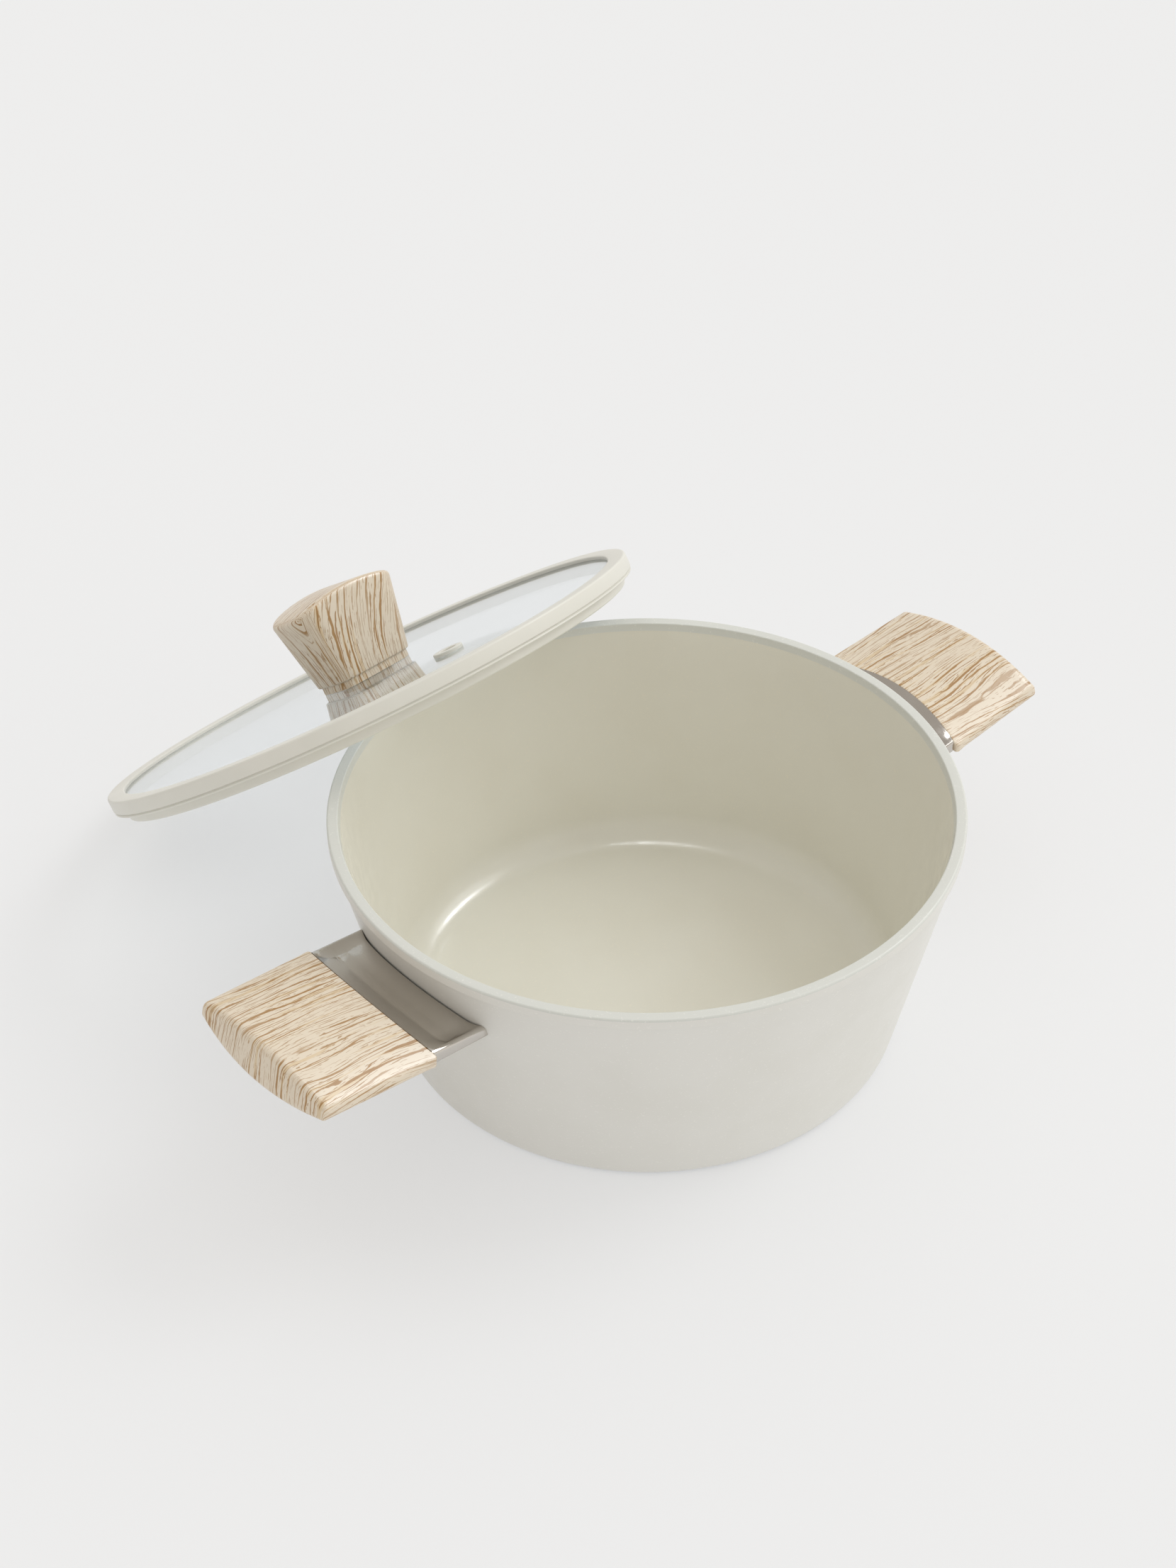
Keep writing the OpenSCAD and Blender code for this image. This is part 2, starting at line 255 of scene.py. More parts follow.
def ring_cutter(name: str, radius: float, low: float, high: float, place: Matrix,
                spot: tuple[float, float]) -> bpy.types.Object:
    """A round cutter for a bore, standing at a spot in a frame."""
    draft = turned([(0, low), (radius, low), (radius, high), (0, high)], segments=48, closed=False)
    return draft.piece(name, place @ Matrix.Translation((spot[0], spot[1], 0)))


def carve(piece: bpy.types.Object, cutters: Sequence[bpy.types.Object]) -> None:
    """Cuts solids out of a piece and removes the cutters.

    Args:
        piece: The object that is cut.
        cutters: The closed objects to take away from it.
    """
    for cutter in cutters:
        cut = piece.modifiers.new("cut", "BOOLEAN")
        cut.operation = "DIFFERENCE"
        cut.solver = "EXACT"
        cut.object = cutter
    bpy.context.view_layer.update()
    graph = bpy.context.evaluated_depsgraph_get()
    carved = bpy.data.meshes.new_from_object(piece.evaluated_get(graph))
    piece.modifiers.clear()
    piece.data = carved
    for cutter in cutters:
        mesh = cutter.data
        bpy.data.objects.remove(cutter)
        bpy.data.meshes.remove(mesh)


# ---- finishes ----


def linear(colour: str) -> tuple[float, float, float, float]:
    """Turns an sRGB colour to linear light.

    Args:
        colour: The colour as #rrggbb.

    Returns:
        Linear red, green and blue, and 1 for the alpha.
    """
    parts = [int(colour[i:i + 2], 16) / 255 for i in (1, 3, 5)]
    red, green, blue = [c / 12.92 if c <= 0.04045 else ((c + 0.055) / 1.055) ** 2.4 for c in parts]
    return red, green, blue, 1.0


def add(tree: bpy.types.NodeTree, kind: str, inputs: dict[Any, Any] | None = None,
        **settings: Any) -> bpy.types.Node:
    """Adds one node with its settings, values and links.

    Args:
        tree: The tree that gets the node.
        kind: The node's type.
        inputs: Value or source socket for each input, by name or number.
        settings: The node's own settings.

    Returns:
        The new node.
    """
    node = tree.nodes.new(kind)
    for name, value in settings.items():
        setattr(node, name, value)
    for key, value in (inputs or {}).items():
        if isinstance(value, bpy.types.NodeSocket):
            tree.links.new(value, node.inputs[key])
        else:
            node.inputs[key].default_value = value
    return node


@dataclass(frozen=True)
class Finish:
    """A surface finish; each kind fills in its own nodes."""

    name: str
    colour: str
    roughness: float

    def surface(self, tree: bpy.types.NodeTree, shader: bpy.types.Node) -> None:
        """Adds the nodes that give the finish its detail."""
        raise NotImplementedError

    def material(self) -> bpy.types.Material:
        """Builds the material, or gives back the one already built.

        Returns:
            The material, which pieces of the same finish share.
        """
        known = bpy.data.materials.get(self.name)
        if known is not None:
            return known
        made = bpy.data.materials.new(self.name)
        made.use_nodes = True
        tree = made.node_tree
        shader = tree.nodes["Principled BSDF"]
        shader.inputs["Base Color"].default_value = linear(self.colour)
        shader.inputs["Roughness"].default_value = self.roughness
        self.surface(tree, shader)
        return made

    def clouds(self, tree: bpy.types.NodeTree, size_mm: float, detail: float,
               reach: tuple[float, float], values: tuple[float, float]) -> bpy.types.NodeSocket:
        """Lays soft patches over the piece, eased between two values.

        Args:
            tree: The material's tree.
            size_mm: Size of a patch, in millimetres.
            detail: How far each patch is broken up by finer ones.
            reach: Noise at which the easing starts and ends.
            values: What the patches give at those two ends.

        Returns:
            The value of the patches.
        """
        spot = add(tree, "ShaderNodeTexCoord").outputs["Object"]
        noise = add(tree, "ShaderNodeTexNoise",
                    {"Vector": spot, "Scale": 1 / (size_mm * MM), "Detail": detail})
        eased = add(tree, "ShaderNodeMapRange",
                    {"Value": noise.outputs["Fac"], "From Min": reach[0], "From Max": reach[1],
                     "To Min": values[0], "To Max": values[1]}, interpolation_type="SMOOTHSTEP")
        return eased.outputs["Result"]

    def tooth(self, tree: bpy.types.NodeTree, shader: bpy.types.Node, size_mm: float,
              depth_mm: float, detail: float = 2.0) -> None:
        """Raises a fine texture in relief over the piece.

        Args:
            tree: The material's tree.
            shader: The shader that gets the relief.
            size_mm: Size of one grain, in millimetres.
            depth_mm: Depth of the relief, in millimetres.
            detail: How far each grain is broken up by finer ones.
        """
        spot = add(tree, "ShaderNodeTexCoord").outputs["Object"]
        noise = add(tree, "ShaderNodeTexNoise",
                    {"Vector": spot, "Scale": 1 / (size_mm * MM), "Detail": detail})
        bump = add(tree, "ShaderNodeBump",
                   {"Height": noise.outputs["Fac"], "Distance": depth_mm * MM, "Strength": 1.0})
        tree.links.new(bump.outputs["Normal"], shader.inputs["Normal"])


@dataclass(frozen=True)
class CeramicCoat(Finish):
    """Sprayed sol-gel ceramic on cast aluminium.

    It reads as a soft, even egg-shell white with a faint orange peel and sparse mica.
    """

    fleck: str = "#fbfaf4"
    fleck_share: float = 0.3
    fleck_mm: float = 0.55
    tint: str = "#cfcdbf"
    tint_share: float = 0.12
    tint_mm: float = 38.0
    gloss_mm: float = 6.0
    peel_mm: float = 1.1
    peel_depth_mm: float = 0.012

    def surface(self, tree: bpy.types.NodeTree, shader: bpy.types.Node) -> None:
        """Adds a cloudy tint, mica flecks and orange peel.

        The flecks are drawn about twice their real size, so that they show.

        Args:
            tree: The material's tree.
            shader: Its shader.
        """
        cloud = self.clouds(tree, self.tint_mm, 3.0, (0.35, 0.7), (0.0, self.tint_share))
        base = add(tree, "ShaderNodeMix",
                   {0: cloud, 6: linear(self.colour), 7: linear(self.tint)}, data_type="RGBA")
        spot = add(tree, "ShaderNodeTexCoord").outputs["Object"]
        cells = add(tree, "ShaderNodeTexVoronoi",
                    {"Vector": spot, "Scale": 1 / (self.fleck_mm * MM)})
        lit = add(tree, "ShaderNodeMapRange",
                  {"Value": cells.outputs["Color"], "From Min": 0.80, "From Max": 0.95,
                   "To Min": 0.0, "To Max": self.fleck_share}, interpolation_type="SMOOTHSTEP")
        flecked = add(tree, "ShaderNodeMix",
                      {0: lit.outputs["Result"], 6: base.outputs[2], 7: linear(self.fleck)},
                      data_type="RGBA")
        tree.links.new(flecked.outputs[2], shader.inputs["Base Color"])
        gloss = self.clouds(tree, self.gloss_mm, 2.0, (0.3, 0.7),
                            (self.roughness - 0.04, self.roughness + 0.05))
        tree.links.new(gloss, shader.inputs["Roughness"])
        shader.inputs["IOR"].default_value = 1.5
        self.tooth(tree, shader, self.peel_mm, self.peel_depth_mm)


@dataclass(frozen=True)
class WoodPrint(Finish):
    """Phenolic moulding under a water-transferred ash-grain film and a satin lacquer.

    It reads as pale ash with dashed pores and bolder brown streaks, but smooth to the light.
    """

    streak: str = "#a87e47"
    pore: str = "#a87e47"
    haze: str = "#dcc49c"
    streak_pitch_mm: float = 3.1
    line_pitch_mm: float = 1.5
    pore_pitch_mm: float = 0.8
    pore_depth_mm: float = 0.008

    def surface(self, tree: bpy.types.NodeTree, shader: bpy.types.Node) -> None:
        """Draws the film from each point's place in the grain: across, along and layer.

        Args:
            tree: The material's tree.
            shader: Its shader.
        """
        grain = add(tree, "ShaderNodeAttribute", attribute_name="grain").outputs["Vector"]
        sway = self.shift(tree, grain, (0.045, 0.016, 0.03), 5.0)
        bent = add(tree, "ShaderNodeVectorMath", {0: grain, 1: sway}, operation="ADD").outputs[0]
        swathe = self.lumps(tree, bent, 7.0, 60.0)
        streaks = self.rows(tree, bent, self.streak_pitch_mm, 1.1)
        lines = self.rows(tree, bent, self.line_pitch_mm, 1.6)
        pores = self.rows(tree, bent, self.pore_pitch_mm, 2.2)
        thick = self.lumps(tree, bent, 2.4, 24.0)
        break_up = self.lumps(tree, bent, 1.3, 13.0)
        dashes = self.lumps(tree, bent, 0.7, 3.2)
        haze = self.drawn(tree, streaks, swathe, (0.4, 0.65, 0.1, 0.5),
                          swathe, (0.35, 0.65, 0.15, 0.75))
        thin = self.drawn(tree, lines, break_up, (0.38, 0.6, 0.0, 0.3),
                          swathe, (0.3, 0.6, 0.5, 0.95))
        bold = self.drawn(tree, streaks, thick, (0.36, 0.66, 0.02, 0.34),
                          swathe, (0.3, 0.6, 0.55, 1.0))
        dash = self.drawn(tree, pores, dashes, (0.5, 0.62, 0.0, 0.3),
                          swathe, (0.3, 0.6, 0.45, 0.8))
        colour = linear(self.colour)
        for mark, ink in ((haze, self.haze), (thin, self.streak), (bold, self.streak),
                          (dash, self.pore)):
            colour = add(tree, "ShaderNodeMix", {0: mark, 6: colour, 7: linear(ink)},
                         data_type="RGBA").outputs[2]
        tree.links.new(colour, shader.inputs["Base Color"])
        gloss = add(tree, "ShaderNodeMapRange",
                    {"Value": dash, "To Min": self.roughness, "To Max": self.roughness + 0.12},
                    interpolation_type="SMOOTHSTEP")
        tree.links.new(gloss.outputs["Result"], shader.inputs["Roughness"])
        shader.inputs["IOR"].default_value = 1.5
        shader.inputs["Coat Weight"].default_value = 0.25
        shader.inputs["Coat Roughness"].default_value = 0.3
        sunk = add(tree, "ShaderNodeMath", {0: 1.0, 1: dash}, operation="SUBTRACT")
        bump = add(tree, "ShaderNodeBump", {"Height": sunk.outputs[0], "Strength": 0.5,
                                            "Distance": self.pore_depth_mm * MM})
        tree.links.new(bump.outputs["Normal"], shader.inputs["Normal"])

    def shift(self, tree: bpy.types.NodeTree, grain: bpy.types.NodeSocket,
              pitch: tuple[float, float, float], reach: float) -> bpy.types.NodeSocket:
        """A sideways wander of the grain.

        Args:
            tree: The material's tree.
            grain: Place in the grain, in millimetres.
            pitch: Lumps per millimetre across, along and by layer.
            reach: How far the grain wanders, in millimetres.

        Returns:
            The shift, as a vector across the grain.
        """
        scaled = add(tree, "ShaderNodeVectorMath", {0: grain, 1: pitch}, operation="MULTIPLY")
        lumps = add(tree, "ShaderNodeTexNoise",
                    {"Vector": scaled.outputs[0], "Scale": 1.0, "Detail": 1.0})
        return add(tree, "ShaderNodeVectorMath",
                   {0: lumps.outputs["Color"], 1: (reach * 2, 0.0, 0.0)},
                   operation="MULTIPLY").outputs[0]

    def lumps(self, tree: bpy.types.NodeTree, grain: bpy.types.NodeSocket, width: float,
              run: float) -> bpy.types.NodeSocket:
        """Noise stretched along the grain.

        Args:
            tree: The material's tree.
            grain: Place in the grain, in millimetres.
            width: Size of a lump across the grain, in millimetres.
            run: Its size along the grain.

        Returns:
            A value round 0.5.
        """
        scaled = add(tree, "ShaderNodeVectorMath", {0: grain, 1: (1 / width, 1 / run, 0.07)},
                     operation="MULTIPLY").outputs[0]
        return add(tree, "ShaderNodeTexNoise",
                   {"Vector": scaled, "Scale": 1.0, "Detail": 1.0}).outputs["Fac"]

    def rows(self, tree: bpy.types.NodeTree, grain: bpy.types.NodeSocket, pitch: float,
             wander: float) -> bpy.types.NodeSocket:
        """Lines that run along the grain, drift, and crowd together.

        Args:
            tree: The material's tree.
            grain: Place in the grain, in millimetres.
            pitch: Mean distance between lines, in millimetres.
            wander: How many pitches a line may drift.

        Returns:
            Distance from the nearest line: 0 on it and 1 half way to the next.
        """
        across = add(tree, "ShaderNodeSeparateXYZ", {0: grain}).outputs["X"]
        drift = self.lumps(tree, grain, pitch * 3, pitch * 22)
        ragged = self.lumps(tree, grain, pitch * 0.5, pitch * 2)
        turns = add(tree, "ShaderNodeMath", {0: across, 1: 1 / pitch}, operation="MULTIPLY")
        turns = add(tree, "ShaderNodeMath", {0: drift, 1: wander * 2, 2: turns.outputs[0]},
                    operation="MULTIPLY_ADD")
        turns = add(tree, "ShaderNodeMath", {0: ragged, 1: 0.3, 2: turns.outputs[0]},
                    operation="MULTIPLY_ADD")
        near = add(tree, "ShaderNodeMath", {0: turns.outputs[0], 1: 0.5}, operation="PINGPONG")
        return add(tree, "ShaderNodeMath", {0: near.outputs[0], 1: 2.0},
                   operation="MULTIPLY").outputs[0]

    def drawn(self, tree: bpy.types.NodeTree, distance: bpy.types.NodeSocket,
              break_up: bpy.types.NodeSocket, widths: tuple[float, float, float, float],
              swathe: bpy.types.NodeSocket,
              weights: tuple[float, float, float, float]) -> bpy.types.NodeSocket:
        """Draws soft-edged lines whose width and weight change along the grain.

        Args:
            tree: The material's tree.
            distance: Distance from the nearest line, as rows gives it.
            break_up: Noise that sets the width.
            widths: Its low and high, and the width at each, as a share of the pitch.
            swathe: Noise that sets the weight.
            weights: Its low and high, and the weight at each.

        Returns:
            How much ink each point takes, from 0 to 1.
        """
        width, weight = [
            add(tree, "ShaderNodeMapRange",
                {"Value": noise, "From Min": span[0], "From Max": span[1], "To Min": span[2],
                 "To Max": span[3]}, interpolation_type="SMOOTHSTEP").outputs["Result"]
            for noise, span in ((break_up, widths), (swathe, weights))]
        inside = add(tree, "ShaderNodeMath", {0: width, 1: distance}, operation="SUBTRACT")
        mark = add(tree, "ShaderNodeMapRange",
                   {"Value": inside.outputs[0], "From Min": -0.02, "From Max": 0.14},
                   interpolation_type="SMOOTHSTEP")
        return add(tree, "ShaderNodeMath", {0: mark.outputs["Result"], 1: weight},
                   operation="MULTIPLY").outputs[0]


@dataclass(frozen=True)
class DrawnSteel(Finish):
    """Stainless steel sheet, deep drawn and buffed.

    It reads as a soft mirror, streaked very finely across by the buffing wheel.
    """

    streak_axis: tuple[float, float, float] = (900.0, 30.0, 900.0)
    streak_depth_mm: float = 0.0006
    smudge_mm: float = 14.0

    def surface(self, tree: bpy.types.NodeTree, shader: bpy.types.Node) -> None:
        """Adds buffing streaks about 0.3 mm wide in gloss and relief, and a few faint smudges.

        Args:
            tree: The material's tree.
            shader: Its shader.
        """
        shader.inputs["Metallic"].default_value = 1.0
        spot = add(tree, "ShaderNodeTexCoord").outputs["Object"]
        along = add(tree, "ShaderNodeVectorMath", {0: spot, 1: self.streak_axis},
                    operation="MULTIPLY").outputs[0]
        streaks = add(tree, "ShaderNodeTexNoise",
                      {"Vector": along, "Scale": 3.0, "Detail": 2.0}).outputs["Fac"]
        smudge = add(tree, "ShaderNodeTexNoise",
                     {"Vector": spot, "Scale": 1 / (self.smudge_mm * MM), "Detail": 3.0})
        both = add(tree, "ShaderNodeMath", {0: streaks, 1: smudge.outputs["Fac"]},
                   operation="MULTIPLY")
        gloss = add(tree, "ShaderNodeMapRange",
                    {"Value": both.outputs[0], "From Min": 0.15, "From Max": 0.4,
                     "To Min": self.roughness - 0.04, "To Max": self.roughness + 0.08},
                    interpolation_type="SMOOTHSTEP")
        tree.links.new(gloss.outputs["Result"], shader.inputs["Roughness"])
        bump = add(tree, "ShaderNodeBump", {"Height": streaks, "Strength": 1.0,
                                            "Distance": self.streak_depth_mm * MM})
        tree.links.new(bump.outputs["Normal"], shader.inputs["Normal"])


@dataclass(frozen=True)
class TurnedSteel(Finish):
    """Magnetic stainless steel faced on a lathe.

    It reads as fine concentric rings that throw a bow-tie of light.
    """

    ring_mm: float = 0.6
    ring_depth_mm: float = 0.01
    bloom: str = "#a8a49c"
    bloom_mm: float = 30.0

    def surface(self, tree: bpy.types.NodeTree, shader: bpy.types.Node) -> None:
        """Adds tool rings, drawn at twice their real pitch so they show, and a dull heat bloom.

        Args:
            tree: The material's tree.
            shader: Its shader.
        """
        shader.inputs["Metallic"].default_value = 1.0
        spot = add(tree, "ShaderNodeTexCoord").outputs["Object"]
        rings = add(tree, "ShaderNodeTexWave",
                    {"Vector": spot, "Scale": 1 / (self.ring_mm * MM) / 20,
                     "Distortion": 0.3, "Detail": 1.0},
                    wave_type="RINGS", rings_direction="Z").outputs["Fac"]
        share = self.clouds(tree, self.bloom_mm, 3.0, (0.4, 0.7), (0.0, 0.5))
        shade = add(tree, "ShaderNodeMix",
                    {0: share, 6: linear(self.colour), 7: linear(self.bloom)}, data_type="RGBA")
        tree.links.new(shade.outputs[2], shader.inputs["Base Color"])
        gloss = self.clouds(tree, self.bloom_mm, 3.0, (0.3, 0.7),
                            (self.roughness - 0.05, self.roughness + 0.1))
        tree.links.new(gloss, shader.inputs["Roughness"])
        bump = add(tree, "ShaderNodeBump", {"Height": rings, "Strength": 0.5,
                                            "Distance": self.ring_depth_mm * MM})
        tree.links.new(bump.outputs["Normal"], shader.inputs["Normal"])


@dataclass(frozen=True)
class SmallMetal(Finish):
    """Cast, plated or machined metal of the small hardware.

    It reads as satin metal with a fine grain and darker hollows.
    """

    grain_mm: float = 0.35
    grain_depth_mm: float = 0.006
    dark: str = "#6f7072"
    dirt_mm: float = 3.0
    dirt_share: float = 0.35

    def surface(self, tree: bpy.types.NodeTree, shader: bpy.types.Node) -> None:
        """Adds grain in relief and a little dirt that gathers in lumps.

        Args:
            tree: The material's tree.
            shader: Its shader.
        """
        shader.inputs["Metallic"].default_value = 1.0
        dirt = self.clouds(tree, self.dirt_mm, 4.0, (0.5, 0.75), (0.0, self.dirt_share))
        shade = add(tree, "ShaderNodeMix",
                    {0: dirt, 6: linear(self.colour), 7: linear(self.dark)}, data_type="RGBA")
        tree.links.new(shade.outputs[2], shader.inputs["Base Color"])
        gloss = add(tree, "ShaderNodeMapRange",
                    {"Value": dirt, "From Max": self.dirt_share, "To Min": self.roughness,
                     "To Max": self.roughness + 0.2}, interpolation_type="SMOOTHSTEP")
        tree.links.new(gloss.outputs["Result"], shader.inputs["Roughness"])
        self.tooth(tree, shader, self.grain_mm, self.grain_depth_mm)


@dataclass(frozen=True)
class MouldedSilicone(Finish):
    """Platinum-cured silicone rubber, moulded in a vapour-blasted tool.

    It reads as a dry, dense cream with a powdery bloom at grazing angles.
    """

    dust: str = "#eceae2"
    dust_mm: float = 22.0
    blast_mm: float = 0.45
    blast_depth_mm: float = 0.008

    def surface(self, tree: bpy.types.NodeTree, shader: bpy.types.Node) -> None:
        """Adds faint dust clouds and a blasted micro-texture.

        Args:
            tree: The material's tree.
            shader: Its shader.
        """
        cloud = self.clouds(tree, self.dust_mm, 4.0, (0.4, 0.75), (0.0, 0.35))
        shade = add(tree, "ShaderNodeMix",
                    {0: cloud, 6: linear(self.colour), 7: linear(self.dust)}, data_type="RGBA")
        tree.links.new(shade.outputs[2], shader.inputs["Base Color"])
        shader.inputs["IOR"].default_value = 1.43
        shader.inputs["Sheen Weight"].default_value = 0.08
        self.tooth(tree, shader, self.blast_mm, self.blast_depth_mm)


@dataclass(frozen=True)
class TemperedGlass(Finish):
    """Tempered soda-lime float glass.

    It is clear with a cold blue-green cast, and mirrors what stands on it at low angles.
    """

    shade: str = "#f7f8f7"
    wave_mm: float = 60.0
    wave_depth_mm: float = 0.01

    def surface(self, tree: bpy.types.NodeTree, shader: bpy.types.Node) -> None:
        """Adds roller waves from tempering, and lets light that only casts shadow pass, tinted.

        Args:
            tree: The material's tree.
            shader: Its shader.
        """
        shader.inputs["Transmission Weight"].default_value = 1.0
        shader.inputs["IOR"].default_value = 1.52
        self.tooth(tree, shader, self.wave_mm, self.wave_depth_mm, 1.0)
        rays = add(tree, "ShaderNodeLightPath").outputs["Is Shadow Ray"]
        clear = add(tree, "ShaderNodeBsdfTransparent", {"Color": linear(self.shade)})
        both = add(tree, "ShaderNodeMixShader",
                   {0: rays, 1: shader.outputs[0], 2: clear.outputs[0]})
        tree.links.new(both.outputs[0], tree.nodes["Material Output"].inputs["Surface"])


@dataclass(frozen=True)
class StudioPaper(Finish):
    """Seamless translucent paper over a lightbox: flat, matt and very slightly toothed.

    It reads as an even pale ground on which shadows stay faint.
    """

    glow: str = "#f2f3f4"
    glow_strength: float = 0.5
    tooth_mm: float = 0.8
    tooth_depth_mm: float = 0.004

    def surface(self, tree: bpy.types.NodeTree, shader: bpy.types.Node) -> None:
        """Adds paper tooth, too shallow to catch light, and the glow of the lightbox.

        Args:
            tree: The material's tree.
            shader: Its shader.
        """
        shader.inputs["Specular IOR Level"].default_value = 0.0
        shader.inputs["Emission Color"].default_value = linear(self.glow)
        shader.inputs["Emission Strength"].default_value = self.glow_strength
        self.tooth(tree, shader, self.tooth_mm, self.tooth_depth_mm)


COAT_OUTSIDE = CeramicCoat("ceramic_coat_cream", "#e6e5df", 0.42)
COAT_RIM = CeramicCoat("ceramic_coat_rim_white", "#d9dbd5", 0.4, tint="#dcdcd3")
COAT_INSIDE = CeramicCoat("ceramic_nonstick_beige", "#e6e4d8", 0.22, tint="#d6d0bc",
                          fleck="#efe9d8", fleck_share=0.35)
BARE_ALUMINIUM = SmallMetal("machined_aluminium", "#b4b7ba", 0.38)
CAST_ALUMINIUM = SmallMetal("cast_aluminium", "#a9abac", 0.5, grain_mm=0.9, grain_depth_mm=0.03)
ASH_FILM = WoodPrint("ash_print_on_phenolic", "#e6d9c4", 0.36)
GUARD_STEEL = DrawnSteel("drawn_stainless_sheet", "#ccc7c0", 0.14)
DISC_STEEL = TurnedSteel("turned_magnetic_stainless", "#b9bbbc", 0.3)
SCREW_STEEL = SmallMetal("zinc_plated_steel", "#a6a8aa", 0.32)
BRASS = SmallMetal("turned_brass", "#c9a24f", 0.3, dark="#7d6230")
RIM_SILICONE = MouldedSilicone("moulded_silicone_cream", "#e3e2d9", 0.45)
SEAL_SILICONE = MouldedSilicone("moulded_silicone_white", "#e6e5de", 0.45)
LID_GLASS = TemperedGlass("tempered_float_glass", "#f0f6f9", 0.0)
PAPER = StudioPaper("studio_paper", "#adadad", 0.9)


def dress(piece: bpy.types.Object, finishes: Sequence[Finish]) -> None:
    """Puts finishes in a piece's material slots, in order.

    Args:
        piece: The object that is dressed.
        finishes: Its finishes, by finish number.
    """
    if piece.data.materials:  # clearing an empty list would reset the faces' finish numbers
        piece.data.materials.clear()
    for finish in finishes:
        piece.data.materials.append(finish.material())


def fit(piece: bpy.types.Object, body: Body, nodes: Sequence[str],
        finishes: Sequence[Finish]) -> None:
    """Dresses a new piece and puts it in the place of CAD nodes.

    Args:
        piece: The new piece.
        body: The body that it rides on.
        nodes: The CAD nodes that it stands for.
        finishes: Its finishes, by finish number.
    """
    dress(piece, finishes)
    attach(piece, body.value)
    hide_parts(*nodes)
    LOG.info("made %s: %d faces", piece.name, len(piece.data.polygons))


def soften(node: str, width_mm: float) -> bpy.types.Object:
    """Breaks the sharp edges of a CAD node with a narrow bevel.

    Args:
        node: Name of the CAD node.
        width_mm: Width of the broken edge.

    Returns:
        The node's object.
    """
    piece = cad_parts[node]
    bevel = piece.modifiers.new("broken_edges", "BEVEL")
    bevel.width = width_mm * MM
    bevel.segments = 2
    bevel.limit_method = "ANGLE"
    bevel.angle_limit = math.radians(40)
    bevel.harden_normals = False
    piece.data.shade_smooth()
    piece.data.set_sharp_from_angle(angle=math.radians(30))
    LOG.info("kept %s", node)
    return piece


# ---- pot ----


